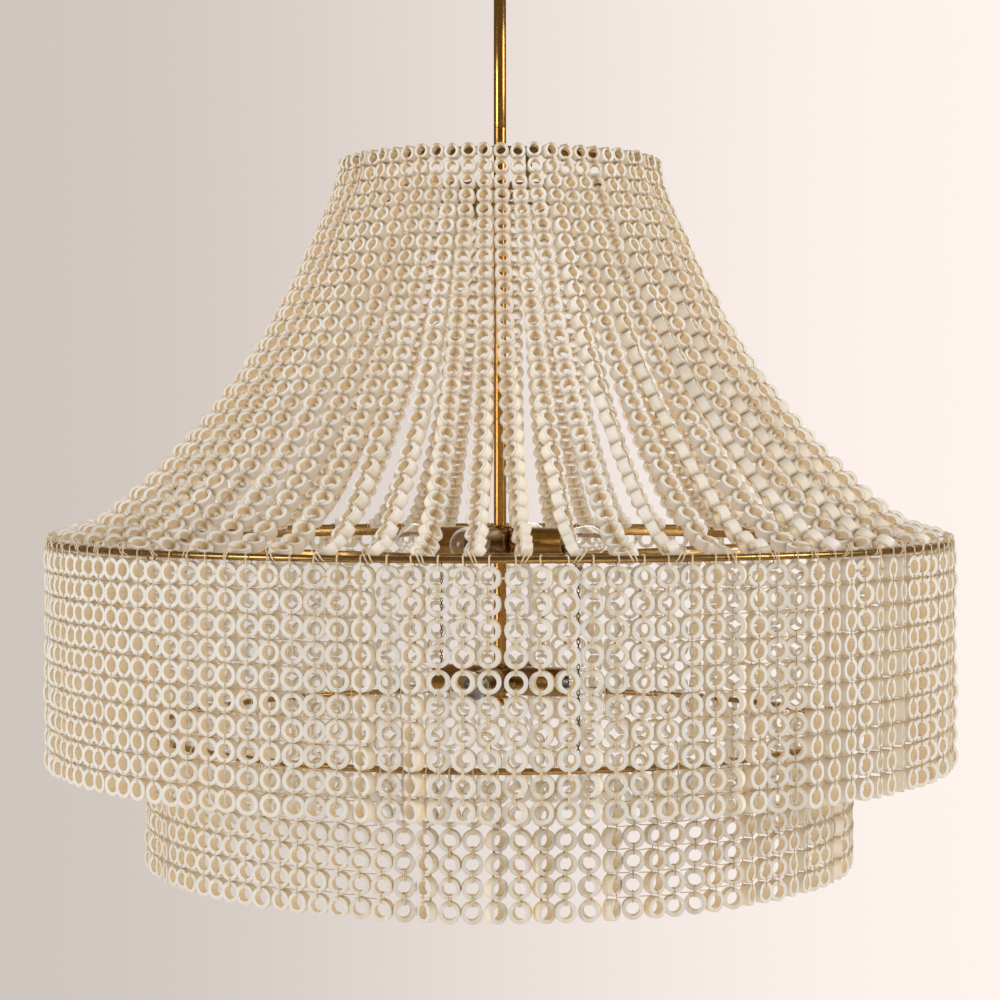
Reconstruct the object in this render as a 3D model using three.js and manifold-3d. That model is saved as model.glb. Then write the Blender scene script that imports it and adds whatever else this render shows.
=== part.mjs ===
// A two-tier bead chandelier that hangs from a ceiling plate on a swivelling stem.
// Millimetres, +Z up. The origin is the middle of the ceiling face, and the stem runs down -Z.
// X and Y run along the four spokes of the rings. Heights are written as drops below the ceiling.

import * as THREE from 'three';
import { mergeVertices } from 'three/addons/utils/BufferGeometryUtils.js';
import Module from 'manifold-3d';

const wasm = await Module();
wasm.setup();

// Gaps between pieces that touch or turn in one another
const fit = 0.3;
const looseFit = 0.5;
const overrun = 1;

// Ceiling fitting
const bracketLength = 104;
const bracketWidth = 22;
const bracketThick = 3;
const bracketSlotLength = 12;
const bracketSlotWidth = 4.6;
const bracketSlotInset = 8;
const nippleRadius = 5;
const nippleDrop = 48;
const nippleHeadRadius = 6.6;
const nippleHeadHeight = 4;
const canopyRadius = 65;
const canopyDepth = 32;
const canopyWall = 1.3;
const canopyNeckRadius = 17;
const ringNutRadius = 12;
const ringNutHeight = 6;

// Swivel under the canopy: a collar that turns on the nipple, with a fork for the stem's eye
const collarRadius = 10;
const collarCavityRadius = 7.4;
const forkSlotDrop = 56;
const forkSlotWidth = 7;
const forkEndDrop = 68;
const pinRadius = 2;
const pinOverhang = 1;
const pinDrop = 62;
const eyeRadius = 5.2;
const stemNeckWidth = 9.4;

// Stem
const stemRadius = 6.35;
const stemWall = 2;
const stemTopDrop = 74;
const stemPlug = 10;
const stemSeamDrop = 211;
const stemEndDrop = 789;
const couplerReach = 15;
const screwRadius = 1.5;
const screwDrop = 216;
const screwAngle = THREE.MathUtils.degToRad(199);
const screwInset = 0.6;

// Rings and what carries them
const topRingRadius = 150;
const topRingDrop = 248.5;
const bandHeight = 8;
const bandThick = 2.5;
const strapWidth = 6;
const strapThick = 3;
const strapInset = 7;
const strapDrop = 285;
const topHubRadius = 10;
const topHubHeight = 12;
const mainRingRadius = 450;
const mainRingDrop = 629;
const rodRadius = 3;
const spokeCount = 4;
const spokeWidth = 5;
const spokeHeight = 4;
const spokeHubRadius = 8.8;
const spokeHubHeight = 7;
const tierRadius = 352;
const bandBridge = 2.74;
const lowerRingDrop = 818;

// Chains between the inner band and the lower ring
const chainLinks = 16;
const linkWidth = 3.6;
const linkThick = 1.2;
const eyeRingRadius = 3.6;
const eyeWireRadius = 0.8;
const lugHold = 2;
const lugRoot = 0.66;
const lugThick = 1.6;
const lugHoleRadius = 1.8;
const lugHoleReach = 4.5;
const lugEdge = 3.5;

// Lamp clusters
const clusterDrops = [631, 772.5];
const clusterBodyRadius = 12.2;
const clusterBodyHeight = 25.5;
const clusterCapRadius = 11.5;
const clusterCapHeight = 2.6;
const clusterWaistRadius = 9;
const clusterWaistHeight = 1.4;
const socketCount = 4;
const socketTurn = THREE.MathUtils.degToRad(-31);
const socketNeckRadius = 7;
const socketNeckLength = 8;
const socketRadius = 15;
const socketWall = 1.4;
const socketFloor = 9;
const socketReach = 70;
const bulbBaseRadius = 12.6;
const bulbRadius = 17.5;
const bulbReach = 112;
const finialFlangeRadius = 9;
const finialFlangeHeight = 1.8;
const finialBallRadius = 4.4;
const finialStub = 13;

// Beads: one layer of swags, an outer curtain and a lower curtain
const swagGroups = 4;
const swagsPerGroup = 16;
const swagTopWidth = 14.6;
const swagEndWidth = 20.4;
const swagThick = 10;
const swagEndThick = 9;
const swagRows = 8;
const swagStartRise = 2;
const swagEndGap = 1;
const swagEndRise = 1.5;
const tieHeight = 8;
const tieThick = 1.5;
const tieWidth = 3;
const strandsPerPanel = 12;
const tieEvery = 4;
const panelJoinHeight = 3;
const outerPanels = 11;
const outerBead = 20.4;
const outerDrop = 636;
const outerLength = 213.5;
const lowerPanels = 9;
const lowerBead = 19.6;
const lowerDrop = 826;
const lowerLength = 126;

// Shares of a swag's run out and of its fall, from the top ring to the main ring
const swagCurveShares = [
  [0, 0],
  [0.025, 0.09],
  [0.085, 0.19],
  [0.165, 0.325],
  [0.275, 0.48],
  [0.4, 0.62],
  [0.55, 0.755],
  [0.71, 0.877],
  [0.86, 0.965],
  [1, 1],
];

// How finely round pieces are faceted
const smallSides = 12;
const stemSides = 16;
const rodSides = 6;
const canopySides = 28;
const topRingSides = 28;
const tierRingSides = 45;
const mainRingSides = 55;
const eyeRingSides = 8;
const eyeWireSides = 4;
const lugHoleSides = 6;
const lampSides = 10;

const fullTurn = 2 * Math.PI;

const finish = {
  brass: { color: 0xbe9150, roughness: 0.3, metalness: 1 },
  darkBrass: { color: 0x5a4424, roughness: 0.5, metalness: 0.9 },
  steel: { color: 0x9a9890, roughness: 0.45, metalness: 0.9 },
  glass: { color: 0xe9ecec, roughness: 0.05, metalness: 0 },
  bead: { color: 0xe4dcce, roughness: 0.65, metalness: 0 },
};

const chandelier = new THREE.Group();

// Adds one named piece, made of a geometry or of a joined solid
function addPiece(name, shape, look, parent = chandelier) {
  const geometry = shape instanceof THREE.BufferGeometry ? shape : geometryOf(shape);
  const mesh = new THREE.Mesh(geometry, new THREE.MeshStandardMaterial(look));
  mesh.name = name;
  parent.add(mesh);
  return mesh;
}

// A closed geometry as a solid that can be joined and cut
function solidOf(geometry) {
  const bare = geometry.clone();
  bare.deleteAttribute('normal');
  bare.deleteAttribute('uv');
  const merged = mergeVertices(bare);
  const vertProperties = new Float32Array(merged.attributes.position.array);
  const triVerts = new Uint32Array(merged.index.array);
  return new wasm.Manifold(new wasm.Mesh({ numProp: 3, vertProperties, triVerts }));
}

function geometryOf(solid) {
  const { vertProperties, triVerts } = solid.getMesh();
  const geometry = new THREE.BufferGeometry();
  geometry.setAttribute('position', new THREE.BufferAttribute(vertProperties, 3));
  geometry.setIndex(new THREE.BufferAttribute(triVerts, 1));
  geometry.computeVertexNormals();
  return geometry;
}

function join(geometries) {
  return geometries.map(solidOf).reduce((whole, part) => whole.add(part));
}

function cut(solid, geometries) {
  return geometries.map(solidOf).reduce((rest, part) => rest.subtract(part), solid);
}

// A body turned about Z from a profile of [radius, height] points
function turned(profile, sides) {
  const points = profile.map(([radius, height]) => new THREE.Vector2(radius, height));
  return new THREE.LatheGeometry(points, sides).rotateX(Math.PI / 2);
}

// A turned ring of rectangular section, from its drop below the ceiling downwards
function turnedRing(innerRadius, outerRadius, drop, height, sides) {
  const profile = [
    [innerRadius, -drop],
    [innerRadius, -drop - height],
    [outerRadius, -drop - height],
    [outerRadius, -drop],
    [innerRadius, -drop],
  ];
  return turned(profile, sides);
}

// A straight round bar about Z between two drops
function roundBar(radius, fromDrop, toDrop, sides = smallSides) {
  const profile = [
    [0, -toDrop],
    [radius, -toDrop],
    [radius, -fromDrop],
    [0, -fromDrop],
  ];
  return turned(profile, sides);
}

// A box given by its size and the place of its middle
function block(width, depth, height, x, y, z) {
  return new THREE.BoxGeometry(width, depth, height).translate(x, y, z);
}

// A round rod bent into a ring at a drop
function rodRing(radius, drop, sides) {
  return new THREE.TorusGeometry(radius, rodRadius, rodSides, sides).translate(0, 0, -drop);
}

// A shape drawn in radius and height, given a width about the XZ plane
function uprightPlate(points, width) {
  const shape = new THREE.Shape(points.map(([radius, height]) => new THREE.Vector2(radius, height)));
  const plate = new THREE.ExtrudeGeometry(shape, { depth: width, bevelEnabled: false });
  return plate.translate(0, 0, -width / 2).rotateX(Math.PI / 2);
}

// The fixed plate in the ceiling, with the nipple that carries everything
function ceilingBracket() {
  const neckEnd = nippleDrop;
  const headEnd = nippleDrop + nippleHeadHeight;
  const nipple = turned(
    [
      [0, -headEnd],
      [nippleHeadRadius, -headEnd],
      [nippleHeadRadius, -neckEnd],
      [nippleRadius, -neckEnd],
      [nippleRadius, -bracketThick / 2],
      [0, -bracketThick / 2],
    ],
    smallSides,
  );
  const bar = block(bracketLength, bracketWidth, bracketThick, 0, 0, -bracketThick / 2);
  const slotMiddle = bracketLength / 2 - bracketSlotInset - bracketSlotLength / 2;
  const slotHeight = bracketThick + 2 * overrun;
  const slots = [-slotMiddle, slotMiddle].map((x) =>
    block(bracketSlotLength, bracketSlotWidth, slotHeight, x, 0, -bracketThick / 2));
  addPiece('ceiling_bracket', cut(join([bar, nipple]), slots), finish.steel);
}

// The domed cover against the ceiling, open on top
function canopy() {
  const shoulder = canopyRadius - canopyDepth / 4;
  const boreRadius = nippleRadius + fit;
  const profile = [
    [canopyRadius, 0],
    [canopyRadius - canopyWall, 0],
    [shoulder - canopyWall, canopyWall - canopyDepth / 2],
    [canopyNeckRadius, canopyWall - canopyDepth],
    [boreRadius, canopyWall - canopyDepth],
    [boreRadius, -canopyDepth],
    [canopyNeckRadius, -canopyDepth],
    [shoulder, -canopyDepth / 2],
    [canopyRadius, 0],
  ];
  addPiece('canopy', turned(profile, canopySides), finish.brass);
  const nutTop = canopyDepth + fit;
  const nut = turnedRing(boreRadius, ringNutRadius, nutTop, ringNutHeight, canopySides / 2);
  addPiece('canopy_ring_nut', nut, finish.brass);
}

// The turning collar with its fork, and the pin that the stem tilts on
function swivel() {
  const top = canopyDepth + ringNutHeight + 2 * fit;
  const shoulder = nippleDrop - fit;
  const cavityEnd = nippleDrop + nippleHeadHeight + looseFit;
  const collar = turned(
    [
      [0, -forkEndDrop],
      [collarRadius, -forkEndDrop],
      [collarRadius, -top],
      [nippleRadius + fit, -top],
      [nippleRadius + fit, -shoulder],
      [collarCavityRadius, -shoulder],
      [collarCavityRadius, -cavityEnd],
      [0, -cavityEnd],
    ],
    stemSides,
  );
  const slotHeight = forkEndDrop - forkSlotDrop + overrun;
  const slotMiddle = -(forkSlotDrop + slotHeight / 2);
  const slot = block(forkSlotWidth, 4 * collarRadius, slotHeight, 0, 0, slotMiddle);
  const pinHole = crossBar(pinRadius + fit, 4 * collarRadius);
  addPiece('swivel_collar', cut(solidOf(collar), [slot, pinHole]), finish.brass);
  const pin = crossBar(pinRadius, 2 * (collarRadius + pinOverhang));
  addPiece('swivel_pin', pin, finish.darkBrass);
}

// A round bar along X through the swivel's pin line
function crossBar(radius, length) {
  const bar = new THREE.CylinderGeometry(radius, radius, length, smallSides);
  return bar.rotateZ(Math.PI / 2).translate(0, 0, -pinDrop);
}

// The stem in two tubes, joined inside by a coupler with a set screw
function stem() {
  const bore = stemRadius - stemWall;
  const tube = turned(
    [
      [0, -stemTopDrop - stemPlug],
      [bore, -stemTopDrop - stemPlug],
      [bore, -stemSeamDrop + fit / 2],
      [stemRadius, -stemSeamDrop + fit / 2],
      [stemRadius, -stemTopDrop],
      [0, -stemTopDrop],
    ],
    stemSides,
  );
  const eyeThick = forkSlotWidth - 2 * fit;
  const eye = new THREE.CylinderGeometry(eyeRadius, eyeRadius, eyeThick, smallSides);
  eye.rotateZ(Math.PI / 2).translate(0, 0, -pinDrop);
  const neckHeight = stemTopDrop + overrun - pinDrop;
  const neck = block(eyeThick, stemNeckWidth, neckHeight, 0, 0, -pinDrop - neckHeight / 2);
  const pinHole = crossBar(pinRadius + fit, 4 * eyeThick);
  addPiece('upper_stem', cut(join([tube, eye, neck]), [pinHole]), finish.brass);

  const seam = stemSeamDrop + fit / 2;
  const lower = turnedRing(bore, stemRadius, seam, stemEndDrop - seam, stemSides);
  const screwAxis = new THREE.Vector3(Math.cos(screwAngle), Math.sin(screwAngle), 0);
  const screwHole = radialBar(screwRadius + fit, bore / 2, stemRadius + overrun, screwAxis, screwDrop);
  addPiece('lower_stem', cut(solidOf(lower), [screwHole]), finish.brass);
  const coupler = roundBar(bore - fit, stemSeamDrop - couplerReach, stemSeamDrop + couplerReach);
  addPiece('stem_coupler', coupler, finish.darkBrass);
  const screw = radialBar(screwRadius, bore, stemRadius - screwInset, screwAxis, screwDrop);
  addPiece('coupler_screw', screw, finish.darkBrass);
}

// A round bar pointing away from the stem's axis, between two radii
function radialBar(radius, fromRadius, toRadius, axis, drop) {
  const length = toRadius - fromRadius;
  const bar = new THREE.CylinderGeometry(radius, radius, length, smallSides);
  const turn = new THREE.Quaternion().setFromUnitVectors(new THREE.Vector3(0, 1, 0), axis);
  bar.applyQuaternion(turn);
  const middle = axis.clone().multiplyScalar(fromRadius + length / 2);
  return bar.translate(middle.x, middle.y, -drop);
}

// The small upper ring: a flat band on four bent straps from a hub on the stem
function topFrame() {
  const outer = topRingRadius + bandThick / 2;
  const inner = outer - bandThick;
  const band = turnedRing(inner, outer, topRingDrop, bandHeight, topRingSides);
  const strapOut = inner - strapInset + strapThick / 2;
  const strapIn = strapOut - strapThick;
  const armTop = topRingDrop + bandHeight / 4;
  const hubReach = topHubRadius - overrun;
  const outline = [
    [inner + bandThick / 2, -armTop],
    [strapIn, -armTop],
    [strapIn, -strapDrop],
    [hubReach, -strapDrop],
    [hubReach, -strapDrop - strapThick],
    [strapOut, -strapDrop - strapThick],
    [strapOut, -armTop - strapThick],
    [inner + bandThick / 2, -armTop - strapThick],
  ];
  const straps = aroundAxis(spokeCount, 0).map((angle) =>
    uprightPlate(outline, strapWidth).rotateZ(angle));
  const hubTop = strapDrop + strapThick / 2 - topHubHeight / 2;
  const hub = turnedRing(stemRadius + fit, topHubRadius, hubTop, topHubHeight, stemSides);
  addPiece('top_ring', join([band, hub, ...straps]), finish.darkBrass);
}

// Angles of copies spaced evenly about the stem
function aroundAxis(count, firstAngle) {
  return Array.from({ length: count }, (unused, index) => firstAngle + (index * fullTurn) / count);
}

function clusterEnd(drop) {
  return drop + clusterBodyHeight / 2;
}

const spokeHubTop = clusterEnd(clusterDrops[0]) + fit;
const spokeStartDrop = spokeHubTop + spokeHubHeight / 2;
const spokeRise = spokeStartDrop - mainRingDrop;

// Drop of a spoke's middle line at a radius
function spokeDropAt(radius) {
  return spokeStartDrop - (spokeRise * radius) / mainRingRadius;
}

// The inner band's top, so that enough of the band is left over the notches for the spokes
const tierBandDrop = spokeDropAt(tierRadius) - spokeHeight / 2 - fit - bandBridge;

// One spoke as a slightly rising flat bar with the given width and height
function spoke(width, height, fromRadius, toRadius) {
  const outline = [
    [fromRadius, -spokeDropAt(fromRadius) - height / 2],
    [toRadius, -spokeDropAt(toRadius) - height / 2],
    [toRadius, -spokeDropAt(toRadius) + height / 2],
    [fromRadius, -spokeDropAt(fromRadius) + height / 2],
  ];
  return uprightPlate(outline, width);
}

// The large rod ring with its four spokes and the hub on the stem
function mainRing() {
  const rod = rodRing(mainRingRadius, mainRingDrop, mainRingSides);
  const hub = turnedRing(stemRadius + fit, spokeHubRadius, spokeHubTop, spokeHubHeight, stemSides);
  const spokes = aroundAxis(spokeCount, 0).map((angle) => {
    const bar = spoke(spokeWidth, spokeHeight, spokeHubRadius - overrun, mainRingRadius - overrun);
    return bar.rotateZ(angle);
  });
  addPiece('main_ring', join([rod, hub, ...spokes]), finish.brass);
}

// An ear with a hole for a chain's end ring, standing down from a drop or up from it
function chainLug(rootDrop, holeDrop, angle) {
  const endDrop = holeDrop + Math.sign(holeDrop - rootDrop) * lugEdge;
  const height = Math.abs(endDrop - rootDrop);
  const width = spokeWidth + 2 * fit + 2 * lugHold;
  const ear = block(lugThick, width, height, tierRadius, 0, -(rootDrop + endDrop) / 2);
  const hole = new THREE.CylinderGeometry(lugHoleRadius, lugHoleRadius, 4 * lugThick, lugHoleSides);
  hole.rotateZ(Math.PI / 2).translate(tierRadius, 0, -holeDrop);
  return { ear: ear.rotateZ(angle), hole: hole.rotateZ(angle) };
}

const tierBandHeight = bandBridge + spokeHeight + 2 * fit + lugRoot;
const chainTopDrop = tierBandDrop + tierBandHeight + lugHoleReach;
const chainEndDrop = lowerRingDrop - rodRadius - lugHoleReach + fit;
const chainAngles = aroundAxis(spokeCount, -Math.PI / 2);

// The inner flat band: notched over the spokes, with an ear under each spoke for a chain
function tierBand() {
  const half = bandThick / 2;
  const inner = tierRadius - half;
  const band = turnedRing(inner, tierRadius + half, tierBandDrop, tierBandHeight, tierRingSides);
  const notchReach = 4 * bandThick;
  const notches = aroundAxis(spokeCount, 0).map((angle) => {
    const low = fit + spokeHeight / 2 - spokeDropAt(tierRadius) - bandHeight;
    const notch = block(2 * notchReach, spokeWidth + 2 * fit, 2 * bandHeight, tierRadius, 0, low);
    return notch.rotateZ(angle);
  });
  const root = tierBandDrop + tierBandHeight - lugRoot;
  const lugs = chainAngles.map((angle) => chainLug(root, chainTopDrop, angle));
  const body = cut(solidOf(band), notches).add(join(lugs.map((lug) => lug.ear)));
  addPiece('tier_band', cut(body, lugs.map((lug) => lug.hole)), finish.brass);
}

// The ring of the lower tier, with an ear on top for each chain
function lowerRing() {
  const rod = rodRing(tierRadius, lowerRingDrop, tierRingSides);
  const lugs = chainAngles.map((angle) => chainLug(lowerRingDrop - overrun, chainEndDrop, angle));
  const body = join([rod, ...lugs.map((lug) => lug.ear)]);
  addPiece('lower_ring', cut(body, lugs.map((lug) => lug.hole)), finish.brass);
}

// One chain: a ring at each end and links in between that lie crosswise in turn
function chain(angle, index) {
  const endRings = [chainTopDrop + eyeRingRadius, chainEndDrop - eyeRingRadius].map((drop) => {
    const ring = new THREE.TorusGeometry(eyeRingRadius, eyeWireRadius, eyeWireSides, eyeRingSides);
    return ring.rotateX(Math.PI / 2).translate(tierRadius, 0, -drop);
  });
  const top = chainTopDrop + 2 * eyeRingRadius;
  const pitch = (chainEndDrop - 2 * eyeRingRadius - top) / chainLinks;
  const links = strandBody(1, 2 * chainLinks, (strand, side, row, face) => {
    const wide = row % 4 === 1 ? linkWidth : linkThick;
    const deep = row % 4 === 3 ? linkWidth : linkThick;
    const radius = tierRadius + (face === 1 ? deep / 2 : -deep / 2);
    return [radius, side === 1 ? wide / 2 : -wide / 2, -(top + (pitch * row) / 2)];
  });
  const mesh = addPiece(`chain_${index + 1}`, join([...endRings, links]), finish.darkBrass);
  mesh.rotation.z = angle;
}

// The hub of a lamp cluster: a turned body with a thin cap on a waist
function clusterHub(name, drop) {
  const bore = stemRadius + fit;
  const bodyTop = drop - clusterBodyHeight / 2;
  const waistTop = bodyTop - clusterWaistHeight;
  const capTop = waistTop - clusterCapHeight;
  const profile = [
    [bore, -capTop],
    [bore, -clusterEnd(drop)],
    [clusterBodyRadius, -clusterEnd(drop)],
    [clusterBodyRadius, -bodyTop],
    [clusterWaistRadius, -bodyTop],
    [clusterWaistRadius, -waistTop],
    [clusterCapRadius, -waistTop],
    [clusterCapRadius, -capTop],
    [bore, -capTop],
  ];
  addPiece(name, turned(profile, stemSides), finish.brass);
}

// A lamp holder and its bulb, turned about their own axis and laid out from the hub
function lamp(tier, index, drop, angle) {
  const start = clusterBodyRadius + fit;
  const cupStart = start + socketNeckLength;
  const floor = cupStart + socketFloor;
  const socket = turned(
    [
      [0, start],
      [socketNeckRadius, start],
      [socketNeckRadius, cupStart],
      [socketRadius, cupStart + socketWall],
      [socketRadius, socketReach],
      [socketRadius - socketWall, socketReach],
      [socketRadius - socketWall, floor],
      [0, floor],
    ],
    lampSides,
  );
  const baseStart = floor + looseFit;
  const baseEnd = socketReach - socketWall;
  const globe = bulbReach - bulbRadius;
  const neck = (baseEnd + globe) / 2;
  const bulb = turned(
    [
      [0, baseStart],
      [bulbBaseRadius, baseStart],
      [bulbBaseRadius, baseEnd],
      [(bulbBaseRadius + bulbRadius) / 2, neck],
      [bulbRadius, globe],
      [bulbRadius * Math.SQRT1_2, globe + bulbRadius * Math.SQRT1_2],
      [0, bulbReach],
    ],
    lampSides,
  );
  const place = new THREE.Group();
  place.position.z = -drop;
  place.rotation.z = angle;
  chandelier.add(place);
  addPiece(`${tier}_socket_${index + 1}`, socket.rotateY(Math.PI / 2), finish.brass, place);
  addPiece(`${tier}_bulb_${index + 1}`, bulb.rotateY(Math.PI / 2), finish.glass, place);
}

// The knob that closes the stem under the lower cluster
function finial() {
  const top = stemEndDrop + fit;
  const ballMiddle = top + finialFlangeHeight + finialBallRadius;
  const stubRadius = stemRadius - stemWall - fit;
  const profile = [
    [0, -ballMiddle - finialBallRadius],
    [finialBallRadius * Math.SQRT1_2, -ballMiddle - finialBallRadius * Math.SQRT1_2],
    [finialBallRadius, -ballMiddle],
    [finialBallRadius / 2, -top - finialFlangeHeight],
    [finialFlangeRadius, -top - finialFlangeHeight / 2],
    [finialFlangeRadius, -top],
    [stubRadius, -top],
    [stubRadius, -top + finialStub],
    [0, -top + finialStub],
  ];
  addPiece('finial', turned(profile, stemSides), finish.brass);
}

// The middle line of a swag in radius and height, from the top ring to the main ring
function swagCurve() {
  const startRadius = topRingRadius + bandThick / 2 + looseFit + swagThick / 2;
  const startHeight = swagStartRise - topRingDrop;
  const run = mainRingRadius - rodRadius - swagEndGap - startRadius;
  const fall = mainRingDrop - swagEndRise + startHeight;
  const points = swagCurveShares.map(([outShare, downShare]) =>
    new THREE.Vector3(startRadius + run * outShare, 0, startHeight - fall * downShare));
  return new THREE.CatmullRomCurve3(points);
}

// Strands side by side as one body. Each strand is filled in every row, and the first row also
// joins it to its neighbour. cornerAt gives a corner by strand, side, row and inner or outer face.
function strandBody(strands, rows, cornerAt) {
  const corners = [];
  for (let strand = 0; strand < strands; strand += 1) {
    for (const side of [0, 1]) {
      for (let row = 0; row <= rows; row += 1) {
        corners.push(...cornerAt(strand, side, row, 0), ...cornerAt(strand, side, row, 1));
      }
    }
  }
  const triangles = [];
  const cornerIndex = (station, row, face) => (station * (rows + 1) + row) * 2 + face;
  const quad = (a, b, c, d) => triangles.push(a, b, c, a, c, d);
  const acrossFace = (station, row, face) => [
    cornerIndex(station, row, face),
    cornerIndex(station, row + 1, face),
    cornerIndex(station + 1, row + 1, face),
    cornerIndex(station + 1, row, face),
  ];
  const acrossEnd = (station, row) => [
    cornerIndex(station, row, 0),
    cornerIndex(station, row, 1),
    cornerIndex(station + 1, row, 1),
    cornerIndex(station + 1, row, 0),
  ];
  const alongSide = (station, row) => [
    cornerIndex(station, row, 0),
    cornerIndex(station, row, 1),
    cornerIndex(station, row + 1, 1),
    cornerIndex(station, row + 1, 0),
  ];
  const lastStation = 2 * strands - 1;
  for (let station = 0; station < lastStation; station += 1) {
    const filledRows = station % 2 === 0 ? rows : 1;
    quad(...acrossEnd(station, 0));
    quad(...acrossEnd(station, filledRows).reverse());
    for (let row = 0; row < filledRows; row += 1) {
      quad(...acrossFace(station, row, 1));
      quad(...acrossFace(station, row, 0).reverse());
    }
  }
  for (let station = 0; station <= lastStation; station += 1) {
    const atEnd = station === 0 || station === lastStation;
    for (let row = atEnd ? 0 : 1; row < rows; row += 1) {
      const side = alongSide(station, row);
      quad(...(station % 2 === 0 ? side.reverse() : side));
    }
  }
  const body = new THREE.BufferGeometry();
  body.setAttribute('position', new THREE.Float32BufferAttribute(corners, 3));
  body.setIndex(triangles);
  return body;
}

// A corner at a radius, height and sideways reach, swung about the stem to its strand's angle
function swungCorner(radius, sideways, height, angle) {
  const along = new THREE.Vector3(radius, sideways, height);
  return along.applyAxisAngle(new THREE.Vector3(0, 0, 1), angle).toArray();
}

// A group of neighbouring swags, joined at the top by the thread that ties them to the ring
function swagGroup(index) {
  const pitch = fullTurn / (swagGroups * swagsPerGroup);
  const curve = swagCurve();
  const tieShare = tieHeight / 2 / curve.getLength();
  const cornerAt = (strand, side, row, face) => {
    const share = row === 0 ? 0 : tieShare + ((1 - tieShare) * (row - 1)) / (swagRows - 1);
    const middle = curve.getPointAt(share);
    const along = curve.getTangentAt(share);
    const halfWidth = THREE.MathUtils.lerp(swagTopWidth, swagEndWidth, share) / 2;
    const halfThick = THREE.MathUtils.lerp(swagThick, swagEndThick, share) / 2;
    const out = face === 1 ? halfThick : -halfThick;
    const radius = middle.x - along.z * out;
    const height = middle.z + along.x * out;
    const angle = (strand + 1 / 2 - swagsPerGroup / 2) * pitch;
    return swungCorner(radius, side === 1 ? halfWidth : -halfWidth, height, angle);
  };
  const body = strandBody(swagsPerGroup, swagRows, cornerAt);
  const mesh = addPiece(`swag_group_${index + 1}`, body, finish.bead);
  mesh.rotation.z = ((index + 1 / 2) * fullTurn) / swagGroups;
}

// One panel of a curtain: strands side by side, joined at their tops and tied to the ring
function curtainPanel(name, angle, size) {
  const pitch = fullTurn / (size.panels * strandsPerPanel);
  const strandAngle = (strand) => (strand + 1 / 2 - strandsPerPanel / 2) * pitch;
  const rowDrops = [size.drop, size.drop + panelJoinHeight, size.drop + size.length];
  const strands = strandBody(strandsPerPanel, 2, (strand, side, row, face) => {
    const radius = size.radius + (face === 1 ? size.bead / 2 : -size.bead / 2);
    const sideways = side === 1 ? size.bead / 2 : -size.bead / 2;
    return swungCorner(radius, sideways, -rowDrops[row], strandAngle(strand));
  });
  const tieRadius = size.radius + rodRadius + looseFit + tieThick / 2;
  const tieMiddle = -(size.drop - tieHeight + (tieHeight + overrun) / 2);
  const ties = [];
  for (let strand = 1; strand < strandsPerPanel; strand += tieEvery) {
    const tie = block(tieThick, tieWidth, tieHeight + overrun, tieRadius, 0, tieMiddle);
    ties.push(tie.rotateZ(strandAngle(strand)));
  }
  addPiece(name, join([strands, ...ties]), finish.bead).rotation.z = angle;
}

function curtain(tier, size) {
  aroundAxis(size.panels, 0).forEach((angle, index) => {
    curtainPanel(`${tier}_curtain_${index + 1}`, angle, size);
  });
}

ceilingBracket();
canopy();
swivel();
stem();
topFrame();
mainRing();
tierBand();
lowerRing();
finial();

chainAngles.forEach(chain);

['upper', 'lower'].forEach((tier, level) => {
  const drop = clusterDrops[level];
  clusterHub(`${tier}_cluster_hub`, drop);
  aroundAxis(socketCount, socketTurn).forEach((angle, index) => lamp(tier, index, drop, angle));
});

for (let index = 0; index < swagGroups; index += 1) {
  swagGroup(index);
}

curtain('outer', {
  panels: outerPanels,
  radius: mainRingRadius,
  bead: outerBead,
  drop: outerDrop,
  length: outerLength,
});
curtain('lower', {
  panels: lowerPanels,
  radius: tierRadius,
  bead: lowerBead,
  drop: lowerDrop,
  length: lowerLength,
});

export default chandelier;
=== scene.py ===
"""A two-tier chandelier of whitewashed ring beads, strung on an antique brass frame.

Lengths are in metres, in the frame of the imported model: the origin is the middle of the ceiling
face, the stem runs down -Z, and X and Y run along the four spokes of the rings.
"""

from __future__ import annotations

import logging
import math
import random
from dataclasses import dataclass, field
from enum import Enum
from functools import cache
from typing import Callable, Iterable, Sequence

import bmesh
import bpy
import numpy as np
from mathutils import Matrix, Vector
from mathutils.geometry import interpolate_bezier

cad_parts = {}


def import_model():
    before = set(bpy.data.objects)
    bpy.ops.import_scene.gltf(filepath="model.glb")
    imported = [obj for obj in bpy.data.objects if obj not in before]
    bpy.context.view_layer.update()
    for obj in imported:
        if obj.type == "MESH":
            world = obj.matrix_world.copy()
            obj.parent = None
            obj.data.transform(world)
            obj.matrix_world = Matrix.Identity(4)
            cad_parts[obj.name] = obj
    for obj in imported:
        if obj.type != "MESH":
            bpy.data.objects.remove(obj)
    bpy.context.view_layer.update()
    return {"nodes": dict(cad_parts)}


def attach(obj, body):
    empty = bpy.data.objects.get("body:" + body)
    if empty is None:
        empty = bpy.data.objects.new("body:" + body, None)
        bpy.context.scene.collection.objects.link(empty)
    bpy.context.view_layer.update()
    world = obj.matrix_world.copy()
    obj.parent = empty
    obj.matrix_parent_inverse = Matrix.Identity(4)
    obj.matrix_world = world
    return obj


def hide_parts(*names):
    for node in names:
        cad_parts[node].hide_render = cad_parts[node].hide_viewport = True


log = logging.getLogger("chandelier")

FULL_TURN = math.tau
QUARTER_TURN = math.tau / 4
SHARP_ANGLE = math.radians(32)
WELD_DISTANCE = 1e-6
SOFT_EDGE = 0.0004
HUB_EDGE = 0.0008
ROOT_DEPTH = 0.001
CAMERA_BEARING = math.radians(-101.2)
UP = Vector((0, 0, 1))

Colour = tuple[float, float, float]
Profile = Sequence[tuple[float, float]]
Station = tuple[Vector, Vector, float]


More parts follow.
